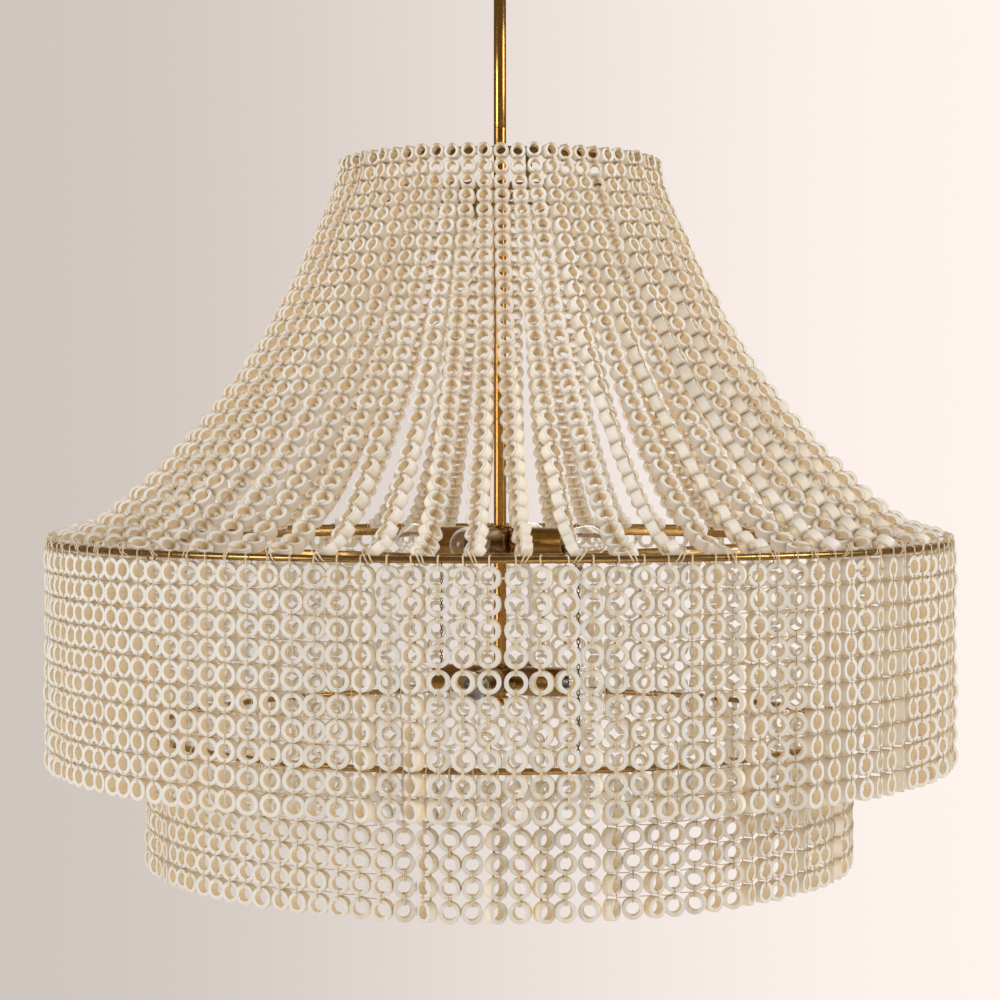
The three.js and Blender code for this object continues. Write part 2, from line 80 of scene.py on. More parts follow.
class Slot(Enum):
    """The material slots of the record."""

    BRASS = "brass"
    DARK_BRASS = "dark_brass"
    STEEL = "steel"
    GLASS = "glass"
    BEAD = "bead"


# Shader building: small helpers and the effects that finishes share


class Graph:
    """Adds nodes to one shader tree and wires them together."""

    def __init__(self, tree: bpy.types.NodeTree) -> None:
        """Starts on an empty tree."""
        self.tree = tree
        tree.nodes.clear()

    def add(self, kind: str, feeds: dict | None = None, **settings: object) -> bpy.types.Node:
        """Adds one node.

        Args:
            kind: The node's type name.
            feeds: Values or output sockets for its inputs, by name or number.
            **settings: Properties of the node itself.

        Returns:
            The new node.
        """
        node = self.tree.nodes.new(kind)
        for name, value in settings.items():
            setattr(node, name, value)
        for name, value in (feeds or {}).items():
            if isinstance(value, bpy.types.NodeSocket):
                self.tree.links.new(value, node.inputs[name])
            else:
                node.inputs[name].default_value = value
        return node

    def maths(self, operation: str, first: object, second: object = 0.0) -> bpy.types.NodeSocket:
        """Returns the result of a maths node on two values or sockets."""
        return self.add("ShaderNodeMath", {0: first, 1: second}, operation=operation).outputs[0]

    def times(self, first: object, second: object) -> bpy.types.NodeSocket:
        """Returns a product."""
        return self.maths("MULTIPLY", first, second)

    def plus(self, first: object, second: object) -> bpy.types.NodeSocket:
        """Returns a sum."""
        return self.maths("ADD", first, second)

    def blend(self, share: object, first: object, second: object) -> bpy.types.NodeSocket:
        """Returns a mix of two colours, from the first at share 0 to the second at 1."""
        feeds = {0: share, 6: rgba(first), 7: rgba(second)}
        return self.add("ShaderNodeMix", feeds, data_type="RGBA").outputs[2]

    def remap(self, value: object, low: object, high: object, start: float = 0.0, end: float = 1.0,
              smooth: bool = False) -> bpy.types.NodeSocket:
        """Moves a value from one range to another and holds it there.

        Args:
            value: The value or socket.
            low: Where the first range starts.
            high: Where it ends.
            start: What the low end becomes.
            end: What the high end becomes.
            smooth: Whether the change eases in and out.

        Returns:
            The result.
        """
        feeds = {"Value": value, "From Min": low, "From Max": high, "To Min": start, "To Max": end}
        curve = "SMOOTHSTEP" if smooth else "LINEAR"
        return self.add("ShaderNodeMapRange", feeds, interpolation_type=curve).outputs[0]

    def noise(self, vector: object, scale: object, detail: float = 3.0,
              roughness: float = 0.55) -> bpy.types.NodeSocket:
        """Returns a noise value at a position."""
        feeds = {"Vector": vector, "Scale": scale, "Detail": detail, "Roughness": roughness}
        return self.add("ShaderNodeTexNoise", feeds).outputs[0]

    def attribute(self, name: str) -> bpy.types.NodeSocket:
        """Returns a number stored on the piece's faces."""
        return self.add("ShaderNodeAttribute", attribute_name=name).outputs["Fac"]

    def position(self) -> bpy.types.NodeSocket:
        """Returns the place on the piece, in the frame's metres."""
        return self.add("ShaderNodeTexCoord").outputs["Object"]

    def group(self, tree: bpy.types.NodeTree, feeds: dict) -> bpy.types.NodeSocket:
        """Places a shared effect with its own values and returns its first output."""
        return self.add("ShaderNodeGroup", feeds, node_tree=tree).outputs[0]

    def bump(self, height: object, strength: float, distance: float) -> bpy.types.NodeSocket:
        """Returns a normal that follows a height."""
        feeds = {"Height": height, "Strength": strength, "Distance": distance}
        return self.add("ShaderNodeBump", feeds).outputs[0]

    def surface(self, feeds: dict) -> None:
        """Ends the tree with a Principled surface."""
        shader = self.add("ShaderNodeBsdfPrincipled", feeds)
        self.add("ShaderNodeOutputMaterial", {"Surface": shader.outputs[0]})


def rgba(colour: object) -> object:
    """Returns a colour with its alpha, or a socket as it is."""
    return (*colour, 1.0) if isinstance(colour, tuple) else colour


def shared_effect(name: str, values: dict[str, float], output: str,
                  build: Callable[[Graph, dict], bpy.types.NodeSocket]) -> bpy.types.NodeTree:
    """Makes a shader group once and hands out the same one afterwards.

    Args:
        name: The group's name.
        values: Its inputs with their usual values.
        output: The name of what it puts out.
        build: Draws the inside, from the graph and the input sockets, and returns the result.

    Returns:
        The group.
    """
    tree = bpy.data.node_groups.get(name)
    if tree:
        return tree
    tree = bpy.data.node_groups.new(name, "ShaderNodeTree")
    graph = Graph(tree)
    for label, value in values.items():
        socket = tree.interface.new_socket(label, in_out="INPUT", socket_type="NodeSocketFloat")
        socket.default_value = value
    tree.interface.new_socket(output, in_out="OUTPUT", socket_type="NodeSocketFloat")
    inputs = graph.add("NodeGroupInput")
    result = build(graph, {socket.name: socket for socket in inputs.outputs if socket.name})
    graph.add("NodeGroupOutput", {output: result})
    return tree


def blotches() -> bpy.types.NodeTree:
    """Returns soft uneven patches at two sizes, from 0 to 1."""

    def build(graph: Graph, given: dict) -> bpy.types.NodeSocket:
        """Adds a finer noise to a broad one and widens the result.

        Args:
            graph: The group's nodes.
            given: The group's inputs.

        Returns:
            The effect's strength.
        """
        place = graph.position()
        broad = graph.noise(place, given["Scale"])
        fine = graph.noise(place, graph.times(given["Scale"], 4.7))
        both = graph.plus(graph.times(broad, 0.65), graph.times(fine, 0.35))
        return graph.remap(both, given["Low"], given["High"])

    return shared_effect("blotches", {"Scale": 60.0, "Low": 0.35, "High": 0.65}, "Mask", build)


def streaks() -> bpy.types.NodeTree:
    """Returns thin lines along Z, as wood grain or brushing, from 0 to 1."""

    def build(graph: Graph, given: dict) -> bpy.types.NodeSocket:
        """Squeezes a noise across the piece.

        Args:
            graph: The group's nodes.
            given: The group's inputs.

        Returns:
            The effect's strength.
        """
        length = graph.add("ShaderNodeCombineXYZ", {0: 1.0, 1: 1.0, 2: given["Length"]})
        drawn = graph.add("ShaderNodeVectorMath", {0: graph.position(), 1: length.outputs[0]},
                          operation="MULTIPLY")
        return graph.noise(drawn.outputs[0], given["Scale"], 4.0, 0.6)

    return shared_effect("streaks", {"Scale": 900.0, "Length": 0.06}, "Mask", build)


def worn_edges() -> bpy.types.NodeTree:
    """Returns the outer edges of a piece, broken up as rubbed places are."""

    def build(graph: Graph, given: dict) -> bpy.types.NodeSocket:
        """Takes the convex places and breaks them with a noise.

        Args:
            graph: The group's nodes.
            given: The group's inputs.

        Returns:
            The effect's strength.
        """
        convex = graph.add("ShaderNodeNewGeometry").outputs["Pointiness"]
        edge = graph.remap(convex, 0.51, given["Sharp"])
        broken = graph.remap(graph.noise(graph.position(), given["Scale"]), 0.35, 0.6)
        return graph.times(edge, broken)

    return shared_effect("worn edges", {"Sharp": 0.6, "Scale": 300.0}, "Mask", build)


def settled_dust() -> bpy.types.NodeTree:
    """Returns where dust settles: on faces that look up, more in some places than in others."""

    def build(graph: Graph, given: dict) -> bpy.types.NodeSocket:
        """Takes the upward part of the normal and breaks it with a noise.

        Args:
            graph: The group's nodes.
            given: The group's inputs.

        Returns:
            The effect's strength.
        """
        normal = graph.add("ShaderNodeNewGeometry").outputs["Normal"]
        upward = graph.add("ShaderNodeSeparateXYZ", {0: normal}).outputs[2]
        flat = graph.remap(upward, 0.4, 1.0, smooth=True)
        uneven = graph.remap(graph.noise(graph.position(), given["Scale"]), 0.3, 0.7)
        return graph.times(graph.times(flat, uneven), given["Amount"])

    return shared_effect("settled dust", {"Scale": 90.0, "Amount": 0.3}, "Mask", build)


# Finishes of the brass, the beads, the thread and the lamps


METAL_DUST: Colour = (0.6, 0.55, 0.48)
WOOD_DUST: Colour = (0.8, 0.76, 0.69)
GLASS_HAZE: Colour = (0.95, 0.94, 0.91)


@dataclass(frozen=True)
class Finish:
    """A finish with its slot. Each kind draws its own shader."""

    name: str
    slot: Slot

    def draw(self, graph: Graph) -> None:
        """Draws the shader nodes."""
        raise NotImplementedError

    def material(self) -> bpy.types.Material:
        """Returns the finish's material, made on first use."""
        made = bpy.data.materials.get(self.name)
        if made is None:
            made = bpy.data.materials.new(self.name)
            made.use_nodes = True
            self.draw(Graph(made.node_tree))
        return made


@dataclass(frozen=True)
class Metal(Finish):
    """A metal with tarnish in patches, brushing and rubbed edges."""

    body: Colour
    tarnish: Colour
    rubbed: Colour
    roughness: float
    tarnish_from: float = 0.4
    brushing: float = 0.12

    def draw(self, graph: Graph) -> None:
        """Draws the metal.

        Args:
            graph: The material's nodes.
        """
        patches = graph.group(blotches(), {"Scale": 38.0, "Low": self.tarnish_from, "High": 0.78})
        lines = graph.group(streaks(), {"Scale": 2600.0, "Length": 0.02})
        edges = graph.group(worn_edges(), {"Sharp": 0.58, "Scale": 420.0})
        dust = graph.group(settled_dust(), {"Scale": 110.0, "Amount": 0.12})
        colour = graph.blend(patches, self.body, self.tarnish)
        colour = graph.blend(graph.times(edges, 0.6), colour, self.rubbed)
        colour = graph.blend(dust, colour, METAL_DUST)
        rough = graph.plus(graph.times(patches, 0.16), self.roughness)
        rough = graph.plus(rough, graph.times(lines, self.brushing))
        graph.surface({
            "Base Color": colour,
            "Metallic": 1.0,
            "Roughness": rough,
            "Normal": graph.bump(lines, self.brushing * 0.6, 0.0002),
        })


@dataclass(frozen=True)
class BleachedWood(Finish):
    """Bleached wood: pale and uneven outside, warmer along the grain, bare wood with painted warm
    bounce light in the bore, and painted shade on the walls, where beads meet and along the edges.
    """

    pale: Colour
    shade: Colour
    pink: Colour
    # The bare wood colour: for the grain lines and the wood inside the hole, and also for painted
    # warm bounce light in the bore and on the outer walls.
    bare_wood_and_bounce: Colour
    # The colour of the painted shade in the creases and along the edges.
    edge: Colour
    # How strongly the outer walls take the painted warm shade.
    painted_wall_shade: float
    shading: float

    def draw(self, graph: Graph) -> None:
        """Draws the wood from its patches, its grain and each bead's own tone, with painted light
        and shade over them.

        Args:
            graph: The material's nodes.
        """
        tone = graph.attribute("tone")
        side = graph.attribute("side")
        bore = graph.maths("MAXIMUM", side, 0.0)
        rim = graph.maths("MAXIMUM", graph.times(side, -1.0), 0.0)
        across = graph.attribute("across")
        patches = graph.group(blotches(), {"Scale": 95.0, "Low": 0.38, "High": 0.7})
        grain = graph.group(streaks(), {"Scale": 700.0, "Length": 0.25})
        dust = graph.group(settled_dust(), {"Scale": 60.0, "Amount": 0.12})
        mixed = graph.plus(graph.times(patches, 0.5), graph.times(tone, 0.5))
        colour = graph.blend(mixed, self.pale, self.shade)
        colour = graph.blend(graph.remap(tone, 0.72, 1.0, 0.0, 0.5), colour, self.pink)
        lines = graph.remap(grain, 0.52, 0.75, 0.0, 0.3)
        colour = graph.blend(lines, colour, self.bare_wood_and_bounce)
        # The bore takes the bare wood colour, broken by the grain. This is partly the untreated
        # wood inside the hole and partly painted warm bounce light, strongest halfway through the
        # hole.
        worn = graph.remap(grain, 0.3, 0.62, 0.75, 1.0)
        mouth = graph.maths("ABSOLUTE", graph.maths("SUBTRACT", across, 0.5))
        deep = graph.remap(mouth, 0.15, 0.5, 1.0, 0.5, smooth=True)
        colour = graph.blend(graph.times(graph.times(bore, worn), deep), colour, self.bare_wood_and_bounce)
        # Painted warm shade on each bead's outer wall. It is stronger towards one end of the wall
        # and in beads of higher tone.
        inner = graph.remap(across, 1.0, 0.0, self.painted_wall_shade * 0.45, self.painted_wall_shade, smooth=True)
        inner = graph.times(inner, graph.remap(tone, 0.0, 1.0, 0.55, 1.35))
        colour = graph.blend(graph.times(rim, inner), colour, self.bare_wood_and_bounce)
        # Painted shade where each bead meets its neighbours on the string, stronger on the upper
        # side and weaker on the lower.
        raised = graph.attribute("crease")
        above = graph.remap(raised, graph.remap(rim, 0.0, 1.0, 0.7, 0.25), 1.0, 0.0,
                            self.shading, smooth=True)
        below = graph.remap(raised, -0.75, -1.0, 0.0, self.shading * 0.6, smooth=True)
        crease = graph.times(graph.maths("MAXIMUM", above, below),
                             graph.remap(tone, 0.0, 1.0, 0.7, 1.0))
        colour = graph.blend(crease, colour, self.edge)
        # Painted shade lines along the outer and inner edges of each ring's faces and at both ends
        # of its wall. The patches break them up, and they stay out of the bore.
        start = graph.remap(tone, 0.3, 0.75, 0.6, 0.15)
        strength = graph.remap(tone, 0.3, 0.75, self.shading * 0.7, self.shading)
        outline = graph.remap(across, start, 1.0, 0.0, strength)
        hole_edge_shade = graph.remap(across, 0.3, 0.0, 0.0, self.shading * 0.6)
        ends = graph.remap(mouth, 0.38, 0.5, 0.0, 0.5, smooth=True)
        face = graph.maths("MAXIMUM", outline, hole_edge_shade)
        line = graph.plus(graph.times(rim, ends),
                          graph.times(graph.maths("SUBTRACT", 1.0, rim), face))
        line = graph.times(line, graph.maths("SUBTRACT", 1.0, bore))
        line = graph.times(line, graph.remap(patches, 0.0, 1.0, 1.0, 0.55))
        colour = graph.blend(line, colour, self.edge)
        colour = graph.blend(dust, colour, WOOD_DUST)
        graph.surface({
            "Base Color": colour,
            "Roughness": graph.remap(grain, 0.3, 0.7, 0.48, 0.74),
            "Specular IOR Level": 0.4,
            "Subsurface Weight": 0.2,
            "Subsurface Radius": (1.0, 0.75, 0.42),
            "Subsurface Scale": 0.0018,
            "Normal": graph.bump(grain, 0.3, 0.0003),
        })


@dataclass(frozen=True)
class Thread(Finish):
    """Twisted cotton thread."""

    pale: Colour
    shade: Colour

    def draw(self, graph: Graph) -> None:
        """Draws the thread with its fine twist.

        Args:
            graph: The material's nodes.
        """
        patches = graph.group(blotches(), {"Scale": 140.0, "Low": 0.35, "High": 0.65})
        place = graph.position()
        twist = graph.add("ShaderNodeTexWave", {"Vector": place, "Scale": 420.0,
                                                "Distortion": 2.0}, bands_direction="DIAGONAL")
        colour = graph.blend(patches, self.pale, self.shade)
        graph.surface({
            "Base Color": graph.blend(graph.remap(twist.outputs[1], 0.0, 1.0, 0.0, 0.35), colour,
                                      self.shade),
            "Roughness": graph.remap(twist.outputs[1], 0.0, 1.0, 0.75, 0.95),
            "Sheen Weight": 0.25,
            "Normal": graph.bump(twist.outputs[1], 0.4, 0.0003),
        })


@dataclass(frozen=True)
class ClearGlass(Finish):
    """Clear lamp glass with a trace of haze."""

    tint: Colour

    def draw(self, graph: Graph) -> None:
        """Draws the glass.

        Args:
            graph: The material's nodes.
        """
        haze = graph.group(blotches(), {"Scale": 70.0, "Low": 0.45, "High": 0.8})
        graph.surface({
            "Base Color": graph.blend(haze, self.tint, GLASS_HAZE),
            "Roughness": graph.remap(haze, 0.0, 1.0, 0.0, 0.06),
            "IOR": 1.45,
            "Transmission Weight": 1.0,
        })


@dataclass(frozen=True)
class Ceramic(Finish):
    """Fired insulating ware, faintly stained."""

    pale: Colour
    stain: Colour

    def draw(self, graph: Graph) -> None:
        """Draws the ware with its stains.

        Args:
            graph: The material's nodes.
        """
        patches = graph.group(blotches(), {"Scale": 90.0, "Low": 0.45, "High": 0.75})
        graph.surface({
            "Base Color": graph.blend(patches, self.pale, self.stain),
            "Roughness": graph.remap(patches, 0.0, 1.0, 0.35, 0.6),
            "Normal": graph.bump(patches, 0.1, 0.0003),
        })


BRASS = Metal("antique brass", Slot.BRASS, body=(0.5, 0.255, 0.055),
              tarnish=(0.24, 0.11, 0.022), rubbed=(0.8, 0.48, 0.17), roughness=0.16,
              tarnish_from=0.5, brushing=0.05)
LAMP_BRASS = Metal("lamp holder brass", Slot.BRASS, body=(0.29, 0.16, 0.042),
                   tarnish=(0.11, 0.055, 0.016), rubbed=(0.52, 0.32, 0.1), roughness=0.24,
                   tarnish_from=0.4, brushing=0.05)
RING_BRASS = Metal("aged ring brass", Slot.BRASS, body=(0.42, 0.25, 0.08),
                   tarnish=(0.2, 0.11, 0.03), rubbed=(0.7, 0.46, 0.18), roughness=0.22,
                   tarnish_from=0.45, brushing=0.06)
TOP_BRASS = Metal("blackened brass", Slot.DARK_BRASS, body=(0.36, 0.235, 0.085),
                  tarnish=(0.09, 0.06, 0.03), rubbed=(0.5, 0.33, 0.12), roughness=0.3,
                  tarnish_from=0.4)
DARK_BRASS = Metal("dark antique brass", Slot.DARK_BRASS, body=(0.11, 0.065, 0.028),
                   tarnish=(0.05, 0.032, 0.018), rubbed=(0.36, 0.22, 0.08), roughness=0.34,
                   tarnish_from=0.36)
ZINC = Metal("zinc plate", Slot.STEEL, body=(0.58, 0.58, 0.56), tarnish=(0.4, 0.4, 0.4),
             rubbed=(0.75, 0.75, 0.74), roughness=0.34, tarnish_from=0.42, brushing=0.2)
SWAG_WOOD = BleachedWood("bleached wood", Slot.BEAD, pale=(0.91, 0.905, 0.895),
                         shade=(0.82, 0.79, 0.735), pink=(0.88, 0.83, 0.79),
                         bare_wood_and_bounce=(0.93, 0.77, 0.53), edge=(0.54, 0.41, 0.24), painted_wall_shade=0.5,
                         shading=0.75)
# The curtains' beads are the same bleached wood as the swags'. They are drawn darker, with a
# brighter bore and stronger wall shade, as a painted-shade copy of one material.
SHADED_CURTAIN_WOOD = BleachedWood("warm bleached wood", Slot.BEAD, pale=(0.72, 0.715, 0.7),
                            shade=(0.69, 0.67, 0.63), pink=(0.71, 0.68, 0.65),
                            bare_wood_and_bounce=(0.96, 0.81, 0.57), edge=(0.62, 0.49, 0.3), painted_wall_shade=0.8,
                            shading=0.35)
COTTON = Thread("cotton thread", Slot.BEAD, pale=(0.86, 0.76, 0.58), shade=(0.56, 0.42, 0.25))
# The same cotton thread drawn darker as painted shade, for the swag joints and the curtain threads
# seen side-on.
SHADED_COTTON = Thread("shaded cotton thread", Slot.BEAD, pale=(0.66, 0.46, 0.23),
                    shade=(0.42, 0.26, 0.12))
LAMP_GLASS = ClearGlass("clear lamp glass", Slot.GLASS, tint=(0.99, 0.99, 0.985))
INSULATOR = Ceramic("insulating ware", Slot.STEEL, pale=(0.78, 0.76, 0.7),
                    stain=(0.6, 0.54, 0.44))


# Mesh building: turning, bending, rounding and joining


def turned(profile: Profile, steps: int, closed: bool = False) -> bmesh.types.BMesh:
    """Turns a profile of (radius, height) points about Z.

    Args:
        profile: The points. The shape is solid where they start and end on the axis.
        steps: The number of faces around.
        closed: Whether the last point joins the first, as in a ring's section.

    Returns:
        The turned shape, with its faces outwards.
    """
    bm = bmesh.new()
    points = [bm.verts.new((radius, 0.0, height)) for radius, height in profile]
    edges = [bm.edges.new(pair) for pair in zip(points, points[1:])]
    if closed:
        edges.append(bm.edges.new((points[-1], points[0])))
    bmesh.ops.spin(bm, geom=points + edges, cent=(0, 0, 0), axis=UP, dvec=(0, 0, 0),
                   angle=FULL_TURN, steps=steps, use_merge=True, use_normal_flip=False,
                   use_duplicate=False)
    return closed_up(bm)


def closed_up(bm: bmesh.types.BMesh) -> bmesh.types.BMesh:
    """Merges doubled points, drops empty faces and points every face outwards.

    Args:
        bm: The shape.

    Returns:
        The same shape.
    """
    bmesh.ops.remove_doubles(bm, verts=bm.verts, dist=WELD_DISTANCE)
    bmesh.ops.dissolve_degenerate(bm, dist=WELD_DISTANCE, edges=bm.edges)
    bmesh.ops.recalc_face_normals(bm, faces=bm.faces)
    return bm


def softened(bm: bmesh.types.BMesh, width: float, segments: int = 2) -> bmesh.types.BMesh:
    """Rounds every sharp edge of a shape.

    Args:
        bm: The shape.
        width: How far an edge is cut back.
        segments: The number of faces across the rounding.

    Returns:
        The same shape.
    """
    sharp = [edge for edge in bm.edges if edge.calc_face_angle(0.0) > SHARP_ANGLE]
    bmesh.ops.bevel(bm, geom=sharp, offset=width, offset_type="OFFSET", affect="EDGES",
                    segments=segments, profile=0.5, material=-1, clamp_overlap=True)
    return bm


def moved(bm: bmesh.types.BMesh, *steps: Matrix) -> bmesh.types.BMesh:
    """Moves a shape by each matrix in turn."""
    for step in steps:
        bmesh.ops.transform(bm, matrix=step, verts=bm.verts)
    return bm


def gathered(parts: Iterable[bmesh.types.BMesh]) -> bmesh.types.BMesh:
    """Puts several shapes into one and lets the single ones go.

    Args:
        parts: The single shapes.

    Returns:
        The one shape.
    """
    whole = bmesh.new()
    for part in parts:
        scratch = bpy.data.meshes.new("scratch")
        part.to_mesh(scratch)
        part.free()
        whole.from_mesh(scratch)
        bpy.data.meshes.remove(scratch)
    return whole


def ring_bar(inner: float, outer: float, low: float, top: float, steps: int
             ) -> bmesh.types.BMesh:
    """Turns a plain oblong section into a ring about Z.

    Args:
        inner: The ring's inner radius.
        outer: Its outer radius.
        low: Its lower height.
        top: Its upper height.
        steps: The number of faces around.

    Returns:
        The ring.
    """
    return turned([(inner, low), (outer, low), (outer, top), (inner, top)], steps, closed=True)


def drawn_out(bm: bmesh.types.BMesh, step: Sequence[float]) -> bmesh.types.BMesh:
    """Draws a flat shape out into a solid one.

    Args:
        bm: The flat shape.
        step: How far its copy lies from it.

    Returns:
        The solid shape.
    """
    grown = bmesh.ops.extrude_face_region(bm, geom=bm.faces[:])
    raised = [item for item in grown["geom"] if isinstance(item, bmesh.types.BMVert)]
    bmesh.ops.translate(bm, vec=step, verts=raised)
    return bm


def block(width: float, depth: float, height: float, centre: Sequence[float],
          soft: float) -> bmesh.types.BMesh:
    """Makes a block with rounded edges.

    Args:
        width: Its size along X.
        depth: Its size along Y.
        height: Its size along Z.
        centre: Its middle.
        soft: How far its edges are rounded.

    Returns:
        The block.
    """
    bm = bmesh.new()
    bmesh.ops.create_cube(bm, size=1.0)
    moved(bm, Matrix.Diagonal((width, depth, height, 1)), Matrix.Translation(centre))
    return softened(bm, soft)


def rod_ring(radius: float, rod: float, height: float, steps: int, sides: int = 12
             ) -> bmesh.types.BMesh:
    """Bends a round rod into a level ring about the stem.

    Args:
        radius: From the stem to the rod's middle line.
        rod: The rod's radius.
        height: The height of its middle line.
        steps: The number of faces around the ring.
        sides: The number of faces around the rod.

    Returns:
        The ring.
    """
    corners = [FULL_TURN * side / sides for side in range(sides)]
    profile = [(radius + rod * math.cos(a), height + rod * math.sin(a)) for a in corners]
    return turned(profile, steps, closed=True)


def lying(angle: float, height: float) -> Matrix:
    """Returns the turn that lays a shape made about Z out from the stem, at an angle."""
    out = Matrix.Rotation(QUARTER_TURN, 4, "Y")
    return Matrix.Translation((0, 0, height)) @ Matrix.Rotation(angle, 4, "Z") @ out


def around(count: int, first: float = 0.0) -> list[float]:
    """Returns angles spaced evenly about the stem."""
    return [first + FULL_TURN * index / count for index in range(count)]


def wire_along(path: Sequence[Vector], radius: float, sides: int, closed: bool
               ) -> bmesh.types.BMesh:
    """Draws a round wire along a path by bridging a circle to the next at each point.

    Args:
        path: The points of the wire's middle line.
        radius: The wire's radius.
        sides: The number of faces around it.
        closed: Whether the wire runs back to its start.

    Returns:
        The wire.
    """
    bm = bmesh.new()
    count = len(path)
    loops = []
    for index, point in enumerate(path):
        after = path[(index + 1) % count] if closed or index + 1 < count else point
        before = path[index - 1] if closed or index else point
        turn = (after - before).to_track_quat("Z", "Y").to_matrix().to_4x4()
        made = bmesh.ops.create_circle(bm, segments=sides, radius=radius, cap_ends=False,
                                       matrix=Matrix.Translation(point) @ turn)
        loops.append({edge for vert in made["verts"] for edge in vert.link_edges})
    pairs = zip(loops, loops[1:] + loops[:1]) if closed else zip(loops, loops[1:])
    for first, second in list(pairs):
        bmesh.ops.bridge_loops(bm, edges=list(first | second))
    if not closed:
        bmesh.ops.holes_fill(bm, edges=list(loops[0] | loops[-1]))
    return closed_up(bm)


def placed(name: str, data: bpy.types.ID) -> bpy.types.Object:
    """Puts a mesh, a lamp or a camera into the scene as a new object."""
    thing = bpy.data.objects.new(name, data)
    bpy.context.scene.collection.objects.link(thing)
    return thing


def finished(name: str, shape: bmesh.types.BMesh | bpy.types.Mesh, finish: Finish, body: str,
             stands_for: Sequence[str] = ()) -> bpy.types.Object:
    """Makes one piece of the object from a shape.

    Args:
        name: The piece's name.
        shape: The shape, in its place. A bmesh is let go afterwards.
        finish: What it is made of.
        body: The body that it rides on.
        stands_for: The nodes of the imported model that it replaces.

    Returns:
        The piece.
    """
    if isinstance(shape, bpy.types.Mesh):
        mesh = shape
    else:
        mesh = bpy.data.meshes.new(name)
        shape.to_mesh(mesh)
        shape.free()
    mesh.shade_smooth()
    mesh.set_sharp_from_angle(angle=SHARP_ANGLE)
    mesh.materials.append(finish.material())
    piece = placed(name, mesh)
    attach(piece, body)
    if stands_for:
        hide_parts(*stands_for)
    log.info("%s: %d faces, %s, on %s", name, len(mesh.polygons), finish.name, body)
    return piece


# Beads and the threads that string them


@dataclass(frozen=True)
class Stamp:
    """A small four-sided-face shape that is copied many times."""

    points: np.ndarray
    faces: np.ndarray
    side: np.ndarray
    across: np.ndarray
    crease: np.ndarray

    @classmethod
    def of(cls, bm: bmesh.types.BMesh, bore_reach: float = 0.0) -> Stamp:
        """Takes a shape's points and faces, and marks its bore with 1 and its rim with -1.

        Args:
            bm: The shape, with its hole along X. It is let go.
            bore_reach: How far from X a face may lie and still be of the bore.

        Returns:
            The stamp.
        """
        bm.verts.index_update()
        points = np.array([vert.co[:] for vert in bm.verts])
        faces = np.array([[vert.index for vert in face.verts] for face in bm.faces])
        reach = np.array([face.calc_center_median().yz.length for face in bm.faces])
        bm.free()
        radial = np.hypot(points[:, 1], points[:, 2])[faces]
        axial = points[:, 0][faces]
        flat = np.ptp(axial, axis=1, keepdims=True) < WELD_DISTANCE
        place = np.where(flat, radial, axial)
        low = place.min(axis=1, keepdims=True)
        across = (place - low) / np.maximum(np.ptp(place, axis=1, keepdims=True), WELD_DISTANCE)
        # The height round each ring, from -1 at the bottom to 1 at the top, places the painted
        # shade where beads meet.
        crease = points[:, 2][faces] / np.maximum(radial, WELD_DISTANCE)
        side = np.where(reach < bore_reach, 1.0, np.where(flat[:, 0], 0.0, -1.0))
        return cls(points, faces, side, across, crease)


@dataclass
class Batch:
    """Copies of stamps that make up one piece."""

    copies: list[tuple[Stamp, Matrix, float]] = field(default_factory=list)

    def add(self, stamp: Stamp, matrix: Matrix, tone: float) -> None:
        """Notes one more copy, with its place and its own tone."""
        self.copies.append((stamp, matrix, tone))

    def mesh(self, name: str) -> bpy.types.Mesh:
        """Makes one mesh of all the copies, with their tones and sides on the faces.

        Args:
            name: The mesh's name.

        Returns:
            The mesh.
        """
        points, faces, tones, sides, across, creases = [], [], [], [], [], []
        start = 0
        for stamp, matrix, tone in self.copies:
            full = np.array(matrix)
            points.append(stamp.points @ full[:3, :3].T + full[:3, 3])
            faces.append(stamp.faces + start)
            tones.append(np.full(len(stamp.faces), tone))
            sides.append(stamp.side)
            across.append(stamp.across.ravel())
            creases.append(stamp.crease.ravel())
            start += len(stamp.points)
        mesh = bpy.data.meshes.new(name)
        mesh.from_pydata(np.concatenate(points).tolist(), [], np.concatenate(faces).tolist())
        for label, domain, values in (("tone", "FACE", tones), ("side", "FACE", sides),
                                      ("across", "CORNER", across),
                                      ("crease", "CORNER", creases)):
            layer = mesh.attributes.new(label, "FLOAT", domain)
            layer.data.foreach_set("value", np.concatenate(values).astype(np.float32))
        return mesh


@dataclass(frozen=True)
class BeadShape:
    """The turned ring bead, lying with its hole along X."""

    outer: float = 0.0101
    hole: float = 0.00645
    half_length: float = 0.0045
    sides: int = 20

    @cache
    def stamp(self) -> Stamp:
        """Returns the bead as a stamp, made on first use."""
        half = self.half_length
        bm = ring_bar(self.hole, self.outer, -half, half, self.sides)
        moved(bm, Matrix.Rotation(QUARTER_TURN, 4, "Y"))
        return Stamp.of(bm, bore_reach=self.hole * 1.02)

    @property
    def wall(self) -> float:
        """The thickness of the ring between its hole and its rim."""
        return self.outer - self.hole


def thread_loop(length: float, depth: float, wire: float = 0.0006, turns: int = 1) -> Stamp:
    """Returns turns of thread, side by side, that run along Z and wrap what they tie along X.

    Args:
        length: How long the loop is, between the middles of its thread.
        depth: How deep it is.
        wire: The thread's radius.
        turns: How many turns lie side by side.

    Returns:
        The loop as a stamp.
    """
    x, z = depth / 2, length / 2
    cut = min(x, z) * 0.35
    corners = [(x - cut, z), (x, z - cut), (x, cut - z), (x - cut, -z)]
    corners += [(-px, pz) for px, pz in reversed(corners)]
    loops = []
    for turn in range(turns):
        side = (turn - (turns - 1) / 2) * wire * 1.9
        path = [Vector((px, side, pz)) for px, pz in corners]
        loops.append(wire_along(path, wire, 4, closed=True))
    return Stamp.of(gathered(loops))


